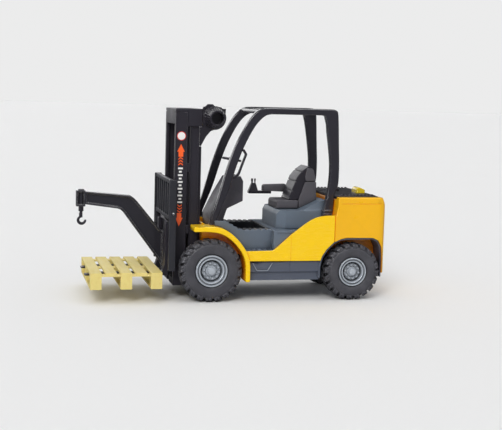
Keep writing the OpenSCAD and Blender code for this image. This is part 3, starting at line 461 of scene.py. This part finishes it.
# Half of the tyre's section, from the middle of the tread to the bead; y is from the middle.
# drop below the tyre's radius, y
CROWN = [(2.3, 0.35), (2.3, 0.75)]
# lug drop, lug y, groove drop, groove y, lug share, sweep share, notch depth
LUGS = [
    (0.12, 0.85, 2.35, 0.95, 1, 0.02, 0),
    (0, 1.2, 2.35, 1.3, 1, 0.04, 0),
    (0.02, 3.4, 2.4, 3.5, 1, 0.25, 0),
    (0.12, 5.2, 2.5, 5.2, 1, 0.5, 0),
    (0.4, 6.6, 2.65, 6.3, 1, 0.68, 0.1),
    (0.85, 7.4, 2.9, 6.9, 1, 0.8, 0.35),
    (1.5, 7.95, 3.2, 7.3, 1, 0.88, 0.5),
    (2.4, 8.3, 3.55, 7.65, 1, 0.95, 0.45),
    (3.2, 8.42, 3.85, 7.85, 1, 1, 0.3),
    (3.7, 8.42, 4.05, 7.98, 0.9, 1, 0.1),
]
# drop below the tyre's radius, y
WALL = [(4.2, 8.08), (4.45, 8.14), (4.7, 8.36), (5.6, 8.52), (7.4, 8.68), (9.4, 8.74)]
# rise above the bead's radius, y
BEAD = [(2.3, 8.66), (1.3, 8.42), (0.6, 8.0), (0.15, 7.4), (0, 6.8)]
# where the sections stand along one lug's pitch
PITCH_STATIONS = [0.025, 0.05, 0.145, 0.185, 0.25, 0.315, 0.355, 0.45, 0.475,
                  0.525, 0.55, 0.645, 0.685, 0.75, 0.815, 0.855, 0.95, 0.975]


def lug_height(along):
    """1 on the lug, 0 in the groove, with a short slope between."""
    return max(0.0, min(1.0, (0.355 - abs(along % 1.0 - 0.5)) / 0.04))


def in_notch(along):
    return abs(along % 1.0 - 0.5) < 0.03


def tyre(radius, bead_radius, centre_x, side):
    """Two rows of staggered, slightly swept lugs that wrap over the shoulders."""
    def plain(r, y, sweep):
        return (r, y, r, y, 0, sweep, 0)

    half = [plain(radius - drop, y, 0) for drop, y in CROWN]
    half += [(radius - lug_drop, lug_y, radius - groove_drop, groove_y, *shares)
             for lug_drop, lug_y, groove_drop, groove_y, *shares in LUGS]
    half += [plain(radius - drop, y, 1) for drop, y in WALL]
    half += [plain(bead_radius + rise, y, 1) for rise, y in BEAD]
    # the inner half is mirrored and half a pitch out of step
    section = [(point, -1, 0.5) for point in reversed(half)] + [(point, 1, 0.0) for point in half]

    bm = bmesh.new()
    rows = []
    for i in range(LUG_ROWS):
        for station in PITCH_STATIONS:
            row = []
            for (lug_r, lug_y, groove_r, groove_y, share, sweep, notch), sign, phase in section:
                height = lug_height(station + phase) * share
                cut = notch * in_notch(station + phase)
                r = groove_r + (lug_r - groove_r) * height - cut * 0.5
                y = sign * (groove_y + (lug_y - groove_y) * height - cut * 0.8)
                a = 2 * math.pi * (i + station - 0.5 + 0.3 * sweep) / LUG_ROWS
                row.append(bm.verts.new(((centre_x + r * math.sin(a)) * MM,
                                         (side * TYRE_Y + side * y) * MM,
                                         (radius - r * math.cos(a)) * MM)))
            rows.append(row)
    skin(bm, rows, joined=True)
    return bm


# ------------------------------------------------------------------ rims
BORE_RADIUS = 1.54        # the same in both sizes of rim
# radius, y outwards from the middle of the tyre; from the hub's face round to the bore's end
RIM_PROFILE = [
    (0, 9.0), (2.2, 8.95), (2.9, 8.7), (3.25, 8.2), (3.3, 6.6), (3.6, 6.2), (4.5, 6.1),
    (4.8, 5.6), (5.1, 5.3), (5.4, 5.2), (8.1, 5.2), (8.4, 4.7), (8.55, 3.7), (9.1, 3.5),
    (9.45, 3.9), (9.65, 5.5), (9.8, 7.6), (10.05, 8.3), (10.5, 8.65), (10.95, 8.6),
    (11.3, 8.25), (11.45, 7.6), (11.65, 7.3), (12.25, 7.3), (12.4, 7.7), (12.5, 8.5),
    (12.8, 8.95), (13.3, 9.05), (13.65, 8.9), (13.88, 8.6), (13.9, 8.25), (13.75, 8.0),
    (13.75, 7.4), (13.98, 7.2), (13.98, -7.6), (13.7, -8.0), (12.6, -8.0), (12.3, -7.6),
    (12.1, 1.4), (11.7, 1.8), (5.0, 1.8), (4.5, 1.4), (4.5, -5.6), (4.1, -6.0),
    (1.6, -6.0), (BORE_RADIUS, -5.9), (BORE_RADIUS, 3.5), (0, 3.5),
]
NUT_COUNT = 10
NUT_CIRCLE_RADIUS = 6.75
NUT_START_ANGLE = 0.16
# (radius, y) profile and number of sides
NUT_SEAT = ([(0.0, 5.0), (1.5, 5.0), (1.5, 5.5), (1.38, 6.0), (1.1, 6.3), (0.0, 6.35)], 20)
NUT = ([(0.0, 6.1), (0.9, 6.1), (0.9, 7.2), (0.7, 7.45), (0.0, 7.5)], 6)


def rim(size, centre_x, centre_z, side):
    """A dished rim with a ring of chamfered hexagon nuts on raised seats."""
    bm = revolve([(r if r == BORE_RADIUS else r * size, y) for r, y in RIM_PROFILE], steps=96)
    for i in range(NUT_COUNT):
        a = 2 * math.pi * i / NUT_COUNT + NUT_START_ANGLE
        x = NUT_CIRCLE_RADIUS * size * math.sin(a)
        z = NUT_CIRCLE_RADIUS * size * math.cos(a)
        for profile, sides in (NUT_SEAT, NUT):
            part = revolve([(r * size, y) for r, y in profile], sides)
            for v in part.verts:
                v.co.x += x * MM
                v.co.z += z * MM
            part_mesh = to_mesh(part, "rim_nut")
            bm.from_mesh(part_mesh)
            bpy.data.meshes.remove(part_mesh)
    for v in bm.verts:
        v.co = Vector((centre_x * MM + v.co.x, side * TYRE_Y * MM + side * v.co.y,
                       centre_z * MM + v.co.z))
    return bm


for end, (axle_x, tyre_radius, rim_size) in WHEELS.items():
    for side_name, side in SIDES:
        tyre_obj = add_solid(f"{end}_tyre_{side_name}",
                             tyre(tyre_radius, BEAD_RADIUS * rim_size, axle_x, side),
                             f"{end}_wheels", "tyre_rubber", sharp_angle=40)
        rim_obj = add_solid(f"{end}_rim_{side_name}", rim(rim_size, axle_x, tyre_radius, side),
                            f"{end}_wheels", "rim_silver", sharp_angle=35)
        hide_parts(f"{end}_tyres")
        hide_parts(f"{end}_rims")


# ------------------------------------------------------------------ rounding the CAD pieces
MIN_EDGE_ANGLE = math.radians(30)   # flatter edges stay as they are
CLEARANCE = 2.2                     # room a rounding needs beside it, in rounding widths
WIDTH_TRIES = 3                     # each try halves the rounding
AVOID_ROUNDS = 6                    # each round leaves out the edges that folded
# two slightly tilted rays, so that one grazing an edge can't decide alone
RAY_TILTS = (Vector((0.013, 0.027, 0.019)), Vector((-0.021, 0.011, -0.017)))


def welded(node):
    """A CAD node's mesh, joined up and with its flat areas merged."""
    bm = bmesh.new()
    bm.from_mesh(NODES[node].data)
    bmesh.ops.remove_doubles(bm, verts=bm.verts, dist=3e-6)
    bmesh.ops.dissolve_degenerate(bm, dist=2e-7, edges=bm.edges)
    bmesh.ops.dissolve_limit(bm, angle_limit=math.radians(0.5), use_dissolve_boundaries=False,
                             verts=bm.verts, edges=bm.edges)
    bmesh.ops.recalc_face_normals(bm, faces=bm.faces)
    return bm


def has_room(edge, face, reach):
    """True if the face goes on for at least reach beside the edge, measured square to it."""
    loop = next(lp for lp in face.loops if lp.edge == edge)
    start = loop.vert.co
    along = loop.link_loop_next.vert.co - start
    length = along.length
    if length < 1e-9:
        return False
    along = along / length
    inward = face.normal.cross(along)
    others = [(lp.vert.co, lp.link_loop_next.vert.co) for lp in face.loops if lp.edge != edge]
    for share in (0.12, 0.31, 0.5, 0.69, 0.88):
        point = start + along * (length * share)
        for c, d in others:
            u0, u1 = (c - point).dot(along), (d - point).dot(along)
            if (u0 > 0) == (u1 > 0):
                continue
            v0, v1 = (c - point).dot(inward), (d - point).dot(inward)
            if 1e-8 < v0 + (v1 - v0) * (-u0) / (u1 - u0) < reach:
                return False
    return True


def crossings(tree, start, direction):
    """How many surfaces a ray meets, up to 80."""
    count = 0
    while count < 80:
        hit = tree.ray_cast(start, direction)[0]
        if hit is None:
            break
        count += 1
        start = hit + direction * 2e-6
    return count


def folded(bm):
    """Points and total area of the places turned inside out or overlapping."""
    copy = bm.copy()
    copy.faces.ensure_lookup_table()
    source = copy.faces.layers.int.new("src")
    wanted = []
    for face in copy.faces:
        face[source] = face.index
        wanted.append(face.normal.copy())
    bmesh.ops.triangulate(copy, faces=copy.faces)
    tree = BVHTree.FromBMesh(copy)
    points = []
    total = 0.0
    for face in copy.faces:
        area = face.calc_area()
        if area < 4e-10:
            continue
        centre = face.calc_center_median()
        bad = face.normal.dot(wanted[face[source]]) < 0.2
        if not bad:
            rays = ((face.normal + tilt).normalized() for tilt in RAY_TILTS)
            # an odd count means the face looks into the solid
            bad = all(crossings(tree, centre + ray * 2e-6, ray) % 2 for ray in rays)
        if bad:
            points.append(centre)
            points += [v.co.copy() for v in face.verts]
            total += area
    copy.free()
    return points, total


def edge_distance(point, edge):
    a, b = (v.co for v in edge.verts)
    along = b - a
    squared = along.length_squared
    t = 0.0 if squared < 1e-18 else max(0.0, min(1.0, (point - a).dot(along) / squared))
    return (a + along * t - point).length


def measures(bm):
    """Volume, surface area, and the low and high corners."""
    low = [min(v.co[i] for v in bm.verts) for i in range(3)]
    high = [max(v.co[i] for v in bm.verts) for i in range(3)]
    return abs(bm.calc_volume()), sum(f.calc_area() for f in bm.faces), low, high


def rounded_mesh(node, width):
    """The node with its sharp edges rounded, or None if it can't be done at this width."""
    avoid = []
    clear = CLEARANCE * width
    for _ in range(AVOID_ROUNDS):
        bm = welded(node)
        volume, area, low, high = measures(bm)
        edges = [e for e in bm.edges
                 if len(e.link_faces) == 2 and e.calc_face_angle(0) > MIN_EDGE_ANGLE
                 and all(has_room(e, f, clear) for f in e.link_faces)
                 and all(edge_distance(point, e) > clear for point in avoid)]
        if edges:
            bmesh.ops.bevel(bm, geom=edges, offset=width, offset_type="OFFSET", segments=2,
                            profile=0.5, affect="EDGES", clamp_overlap=False, loop_slide=True,
                            miter_outer="SHARP", miter_inner="SHARP")
        bmesh.ops.dissolve_degenerate(bm, dist=1e-7, edges=bm.edges)
        new_volume, new_area, new_low, new_high = measures(bm)
        growth = max(max(a - b for a, b in zip(low, new_low)),
                     max(b - a for a, b in zip(high, new_high)))
        points, folded_area = folded(bm)
        if (growth < 0.05 * MM and 0.90 * volume < new_volume < 1.02 * volume
                and new_area < 1.004 * area and folded_area < 4e-4 * area):
            return bm
        bm.free()
        if not points or not edges:
            break
        avoid += points
    return None


def soften(node, width, material):
    """A moulded copy stands for the CAD node; it stays sharp if no width works."""
    for halvings in range(WIDTH_TRIES):
        bm = rounded_mesh(node, width * MM * (0.5 ** halvings))
        if bm is not None:
            break
    else:
        bm = welded(node)
    name = node + "_moulded"
    obj = add(name, to_mesh(bm, name), BODY[node], material, sharp_angle=42, weighted=True,
              slot=SLOT[node])
    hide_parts(node)


# width of the edge rounding on each CAD node
EDGE_WIDTHS = {
    "body_shell": 0.45, "counterweight": 0.9, "fender_left": 0.9, "fender_right": 0.9,
    "front_cowl": 0.7, "overhead_guard": 1.3, "cab_tub": 0.35, "seat_pedestal": 0.6,
    "seat_cushion": 0.9, "seat_back": 0.6, "seat_back_pad": 0.6, "seat_headrest": 0.8,
    "armrest": 1.0, "lever_cluster": 0.4, "dashboard": 0.5, "grab_handle": 0.6,
    "deck_panel": 0.3, "deck_cap": 0.5, "sound_button": 0.6, "chassis_base": 0.3,
    "mast_rail_left": 0.35, "mast_rail_right": 0.35, "mast_head": 0.4, "mast_braces": 0.3,
    "mast_foot": 0.5, "rear_upright_left": 0.3, "rear_upright_right": 0.3,
    "winch_bracket": 0.35, "winch_knob": 0.3, "fork_carriage": 0.3, "load_backrest": 0.5,
    "fork_left": 0.4, "fork_right": 0.4, "jib": 0.45, "hook": 0.5, "hook_nut": 0.4,
    "pallet": 0.3, "steering_column": 0.2, "steering_wheel": 0.2, "battery_cover": 0.3,
    "battery_cover_screw": 0.15, "body_screws": 0.15, "circuit_board": 0.1, "speaker": 0.3,
    "led_lamps": 0.3, "winch_shaft": 0.2, "front_axle": 0.2, "rear_axle": 0.2,
    "battery_cells": 0.3, "battery_contacts": 0.05, "pulley_pin": 0.2, "head_pulley": 0.15,
}
# nodes whose look differs from their slot's material
OWN_MATERIAL = {
    "cab_tub": "console_tub", "load_backrest": "mast_grey", "overhead_guard": "guard_gloss",
    "deck_panel": "deck_black", "deck_cap": "deck_black", "jib": "guard_gloss",
}
for node, width in EDGE_WIDTHS.items():
    if node in NODES:
        soften(node, width, OWN_MATERIAL.get(node, SLOT[node]))


# ------------------------------------------------------------------ lift cord
CORD_X = FRONT_AXLE_X + 26.46
CORD_TOP = 157.4
THIN_FROM = 67.5          # above this height the knotted end thins by THINNING
THINNING = 0.08


def hanging_cord(name, bottom, top, body, radius, steps, knot_z=None):
    """A twisted three-strand cord hanging straight down, with an optional knot."""
    bm = bmesh.new()
    rows = []
    for j in range(steps + 1):
        z = bottom + (top - bottom) * j / steps
        row = []
        for a in angles(12):
            r = radius * (1 + 0.055 * math.cos(3 * a + z * 3.2))
            if knot_z is not None:
                r += 0.75 * math.exp(-((z - knot_z) / 0.8) ** 2)
                r -= THINNING * min(1.0, max(0.0, z - THIN_FROM))
            row.append(bm.verts.new(((CORD_X + r * math.cos(a)) * MM, r * math.sin(a) * MM,
                                     z * MM)))
        rows.append(row)
    skin(bm, rows)
    return add(name, to_mesh(bm, name), body, "cord", sharp_angle=60)


# on the truck the run from the pulley shortens as the carriage rises; here it hangs from the
# chassis, and the knotted end rides with the carriage
cord_run = hanging_cord("lift_cord_run", 45.0, CORD_TOP, "chassis", radius=0.37, steps=220)
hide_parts("lift_cord")
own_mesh(cord_run)
hanging_cord("lift_cord_knot", 61.2, 72.0, "carriage", radius=0.5, steps=60, knot_z=63.6)


# ------------------------------------------------------------------ skirt beads, backrest screws
# x from the front axle, z: a dip in the line along the flat side of the skirt
SKIRT_LINE = [(-36.5, 34.0), (-40.2, 27.7), (-40.9, 27.35), (-49.6, 27.35), (-50.3, 27.7),
              (-54.1, 34.0)]
SKIRT_Y = 46.35
BEAD_HALF_WIDTH = 0.42
BEAD_HEIGHT = 0.35
BEAD_ARC_POINTS = 7

SCREW_X = FRONT_AXLE_X + 33.7
SCREW_Y = 44.0
SCREW_Z = 76.7
SCREW_RADIUS = 0.95
# in screw radii: radius, height above the face
SCREW_PROFILE = [(1.0, -0.3), (1.0, 0.15), (0.93, 0.32), (0.8, 0.42), (0.55, 0.5)]
# in screw radii: height above the face, and the size of the cross there
SCREW_RECESS = [(0.5, 1.0), (0.12, 0.9)]


def skirt_bead(side):
    """A half-round bead along the skirt line, mitred at its corners."""
    bm = bmesh.new()
    rows = []
    last = len(SKIRT_LINE) - 1
    for i, (x, z) in enumerate(SKIRT_LINE):
        before = Vector(SKIRT_LINE[max(i - 1, 0)])
        after = Vector(SKIRT_LINE[min(i + 1, last)])
        along = (after - before).normalized()
        mitre = 1.0
        if 0 < i < last:
            arriving = (Vector((x, z)) - before).normalized()
            mitre = 1.0 / max(0.6, abs(arriving.dot(along)))
        across_x, across_z = -along.y * mitre, along.x * mitre
        row = []
        for j in range(BEAD_ARC_POINTS):
            a = math.pi * j / (BEAD_ARC_POINTS - 1)
            offset = math.cos(a) * BEAD_HALF_WIDTH
            row.append(bm.verts.new(((FRONT_AXLE_X + x + across_x * offset) * MM,
                                     side * (SKIRT_Y + BEAD_HEIGHT * math.sin(a)) * MM,
                                     (z + across_z * offset) * MM)))
        rows.append(row)
    skin(bm, rows)
    return bm


def screw_head(side):
    """A small pan head with a cross recess, facing sideways."""
    bm = bmesh.new()
    steps = angles(48)

    def loop(height, radii):
        y = side * SCREW_Y + side * height * SCREW_RADIUS
        return [bm.verts.new(((SCREW_X + r * SCREW_RADIUS * math.cos(a)) * MM, y * MM,
                              (SCREW_Z + r * SCREW_RADIUS * math.sin(a)) * MM))
                for a, r in zip(steps, radii)]

    rows = [loop(height, [r] * len(steps)) for r, height in SCREW_PROFILE]
    for height, size in SCREW_RECESS:
        rows.append(loop(height, [(0.14 + 0.32 * abs(math.cos(2 * a)) ** 3) * size
                                  for a in steps]))
    skin(bm, rows)
    return bm


for side_name, side in SIDES:
    add_solid(f"skirt_outline_{side_name}", skirt_bead(side), "chassis", "outline_grey",
              sharp_angle=50)
    add_solid(f"backrest_screw_{side_name}", screw_head(side), "carriage", "steel",
              sharp_angle=30)


# ------------------------------------------------------------------ cord on the winch drum
DRUM_X = FRONT_AXLE_X - 3
DRUM_Z = 159
TURN_RADIUS = 3.5 + 0.36
TURN_CORD_RADIUS = 0.4
TURN_PITCH = 2 * TURN_CORD_RADIUS
FIRST_TURN_Y = -3.2
TURN_COUNT = 8


def drum_turns():
    """Separate rings of cord, side by side along Y."""
    bm = bmesh.new()
    for i in range(TURN_COUNT):
        turn_y = FIRST_TURN_Y + TURN_PITCH * i
        sections = []
        for a in angles(64):
            section = []
            for b in angles(10):
                r = TURN_RADIUS + TURN_CORD_RADIUS * math.cos(b)
                section.append(bm.verts.new(((DRUM_X + r * math.cos(a)) * MM,
                                             (turn_y + TURN_CORD_RADIUS * math.sin(b)) * MM,
                                             (DRUM_Z + r * math.sin(a)) * MM)))
            sections.append(section)
        skin(bm, list(zip(*sections)), joined=True)
    return bm


add_solid("drum_cord_turns", drum_turns(), "winch", "cord", sharp_angle=60)


# ------------------------------------------------------------------ button spring
def button_coil():
    """The CAD spring, which shortens when the button is pressed, as a mesh of its own on the
    chassis.
    """
    bm = bmesh.new()
    bm.from_mesh(NODES["button_spring"].data)
    bmesh.ops.remove_doubles(bm, verts=bm.verts, dist=2e-6)
    coil = add("button_coil", to_mesh(bm, "button_coil"), "chassis", "steel", sharp_angle=60)
    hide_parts("button_spring")
    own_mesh(coil)


button_coil()

# CAD nodes that are still shown get the material of their slot
for node, obj in NODES.items():
    if not obj.hide_render:
        obj.data.materials.clear()
        obj.data.materials.append(MATERIAL[SLOT[node]])


# ------------------------------------------------------------------ printed marks on the mast
MAST_FACE_Y = 27.5
PRINT_THICKNESS = 0.07
SIGN_X, SIGN_Z = 25.4, 142.9
SIGN_RADIUS = 3.55
SIGN_RING_RADII = (3.35, 3.95)
SIGN_RING_THICKNESS = 0.1
CHEVRON_PITCH = 2.45
SCALE_X = 25.8
SCALE_BOTTOM = 84.6
SCALE_PITCH = 2.95
SCALE_MARKS = 11
MARK_HEIGHT = 1.5
# marks are wide and narrow in turn
MARK_HALF_WIDTHS = (2.1, 1.2)


def printed(name, outlines, material, side):
    """Thin slabs on the mast's side face, from outlines of (x from the front axle, z)."""
    bm = bmesh.new()
    for outline in outlines:
        skin(bm, [[bm.verts.new(((FRONT_AXLE_X + x) * MM, side * y * MM, z * MM))
                   for x, z in outline]
                  for y in (MAST_FACE_Y, MAST_FACE_Y + PRINT_THICKNESS)])
    add_solid(name, bm, "chassis", material, sharp_angle=30)


def sign_ring(name, side):
    inner, outer = SIGN_RING_RADII
    top = MAST_FACE_Y + SIGN_RING_THICKNESS
    bm = bmesh.new()
    rings = [[bm.verts.new(((FRONT_AXLE_X + SIGN_X + r * math.cos(a)) * MM, side * y * MM,
                            (SIGN_Z + r * math.sin(a)) * MM)) for a in angles(64)]
             for r, y in ((inner, MAST_FACE_Y), (inner, top), (outer, top), (outer, MAST_FACE_Y))]
    skin(bm, list(zip(*rings)), joined=True)
    add_solid(name, bm, "chassis", "decal_red", sharp_angle=30)


def disc(x, z, r):
    return [(x + r * math.cos(a), z + r * math.sin(a)) for a in angles(48)]


def arrow(x, tip, head, tail, head_half, shaft_half):
    """tip, head and tail are the heights of the point, the head's base and the shaft's end."""
    return [(x, tip), (x - head_half, head), (x - shaft_half, head), (x - shaft_half, tail),
            (x + shaft_half, tail), (x + shaft_half, head), (x + head_half, head)]


def chevron(x, z, way):
    """way is 1 to point up, -1 to point down."""
    half, rise, thick = 2.0, 1.5, 1.05
    return [(x - half, z), (x, z + way * rise), (x + half, z), (x + half, z + way * thick),
            (x, z + way * (rise + thick)), (x - half, z + way * thick)]


def scale_mark(i):
    half = MARK_HALF_WIDTHS[i % 2]
    z = SCALE_BOTTOM + i * SCALE_PITCH
    return [(SCALE_X - half, z), (SCALE_X + half, z), (SCALE_X + half, z + MARK_HEIGHT),
            (SCALE_X - half, z + MARK_HEIGHT)]


UP_ARROW = [arrow(25.6, tip=136.0, head=129.3, tail=124.9, head_half=3.3, shaft_half=2.05)]
UP_ARROW += [chevron(25.7, 122.2 - i * CHEVRON_PITCH, way=1) for i in range(3)]
DOWN_ARROW = [arrow(26.2, tip=64.2, head=71.8, tail=76.0, head_half=3.2, shaft_half=1.95)]
DOWN_ARROW += [chevron(25.9, 78.7 + i * CHEVRON_PITCH, way=-1) for i in range(3)]

for side_name, side in SIDES:
    printed(f"mast_arrows_{side_name}", UP_ARROW + DOWN_ARROW, "decal_orange", side)
    printed(f"mast_sign_{side_name}", [disc(SIGN_X, SIGN_Z, SIGN_RADIUS)], "decal_white", side)
    sign_ring(f"mast_sign_ring_{side_name}", side)
    printed(f"mast_height_marks_{side_name}", [scale_mark(i) for i in range(SCALE_MARKS)],
            "decal_white", side)


# ------------------------------------------------------------------ floor
def floor():
    """A wide pale floor that looks dark in the plastic's reflections."""
    bm = bmesh.new()
    bmesh.ops.create_grid(bm, x_segments=2, y_segments=2, size=60.0)
    mesh = to_mesh(bm, "floor")
    obj = bpy.data.objects.new("floor", mesh)
    bpy.context.scene.collection.objects.link(obj)
    mat = Material("floor_paint")
    patches = mat.noise(scale=3, detail=3, rough=0.5)
    path = mat.node("ShaderNodeLightPath")
    paint = mat.mix(patches, (0.845, 0.845, 0.84), (0.855, 0.855, 0.85))
    colour = mat.mix(path.outputs["Is Glossy Ray"], paint, (0.10, 0.10, 0.11))
    mat.surface({"Base Color": colour, "Roughness": 0.8, "Specular IOR Level": 0.2})
    mesh.materials.append(MATERIAL["floor_paint"])


floor()


# ------------------------------------------------------------------ world
ROOM_LIGHT = (0.545, 0.55, 0.565)
BACKDROP = (0.837, 0.838, 0.838)        # close to the lit floor, so that no horizon shows
REFLECTED_ROOM = (0.10, 0.102, 0.108)
# panels seen only in reflections: direction, cosines where the panel starts and is full, power
PANELS = [
    ((0.17, -0.96, 0.20), (0.93, 0.965), 1.6),      # to the right
    ((0.90, 0.27, 0.35), (0.97, 0.985), 12.0),      # in front
    ((0.78, 0.27, 0.57), (0.968, 0.985), 13.0),     # in front and higher
    ((-0.20, 0.14, 0.97), (0.96, 0.985), 8.0),      # overhead
    ((-0.55, 0.62, 0.55), (0.93, 0.97), 1.6),       # above the rear left
]


def studio():
    """A soft white room, with its own looks for light, reflections and the camera."""
    world = bpy.data.worlds.new("studio")
    bpy.context.scene.world = world
    world.use_nodes = True
    graph = Graph(world.node_tree)
    background = graph.tree.nodes["Background"]
    ray = graph.node("ShaderNodeLightPath").outputs
    coords = graph.node("ShaderNodeTexCoord").outputs["Generated"]
    reflected = REFLECTED_ROOM
    for direction, cosines, power in PANELS:
        facing = graph.dot(coords, Vector(direction).normalized())
        panel = graph.remap(facing, span=cosines, interpolation_type="SMOOTHSTEP")
        reflected = graph.mix(panel, reflected, (power, power, power * 1.01))
    colour = graph.mix(ray["Is Glossy Ray"], ROOM_LIGHT, reflected)
    colour = graph.mix(ray["Is Camera Ray"], colour, BACKDROP)
    graph.put(background.inputs["Color"], colour)
    background.inputs["Strength"].default_value = 1.0


studio()


# ------------------------------------------------------------------ lights
def sun(name, direction, strength, angle, color):
    """A sun shining from a direction; angle is its apparent width in degrees."""
    light = bpy.data.lights.new(name, "SUN")
    light.energy = strength
    light.angle = math.radians(angle)
    light.color = color
    obj = bpy.data.objects.new(name, light)
    bpy.context.scene.collection.objects.link(obj)
    obj.rotation_mode = "QUATERNION"
    obj.rotation_quaternion = (-Vector(direction)).to_track_quat("-Z", "Y")
    obj.location = Vector(direction).normalized() * 2


sun("key", direction=(0.42, 0.80, 0.68), strength=1.35, angle=22, color=(1.0, 0.985, 0.955))
sun("overhead", direction=(-0.10, 0.10, 1.0), strength=0.55, angle=60, color=(0.98, 0.99, 1.0))

# ------------------------------------------------------------------ camera
CAMERA_PLACE = (183.52849 + FRONT_AXLE_X, 937.83884, 177.447453)
# degrees: yaw turns the view from -Y towards -X, pitch tips it down
YAW, PITCH, ROLL = 13.693812, 6.285456, 1.597227
SENSOR_WIDTH = 36.0
FOCAL_LENGTH = 76.3927028


def camera():
    """On the truck's left, a little above it, looking across and slightly down."""
    yaw, pitch, roll = map(math.radians, (YAW, PITCH, ROLL))
    place = Vector([value * MM for value in CAMERA_PLACE])
    forward = Vector((-math.sin(yaw) * math.cos(pitch), -math.cos(yaw) * math.cos(pitch),
                      -math.sin(pitch)))
    level = forward.cross(Vector((0, 0, 1))).normalized()
    upright = level.cross(forward)
    right = level * math.cos(roll) + upright * math.sin(roll)
    up = -level * math.sin(roll) + upright * math.cos(roll)
    data = bpy.data.cameras.new("camera")
    data.sensor_width = SENSOR_WIDTH
    data.lens = FOCAL_LENGTH
    data.clip_start = 0.01
    data.clip_end = 20
    obj = bpy.data.objects.new("camera", data)
    bpy.context.scene.collection.objects.link(obj)
    # the columns are the camera's right, up, back and place
    rows = [list(row) for row in zip(right, up, -forward, place)]
    obj.matrix_world = Matrix(rows + [[0, 0, 0, 1]])
    bpy.context.scene.camera = obj


camera()
bpy.context.scene.view_settings.view_transform = "Standard"
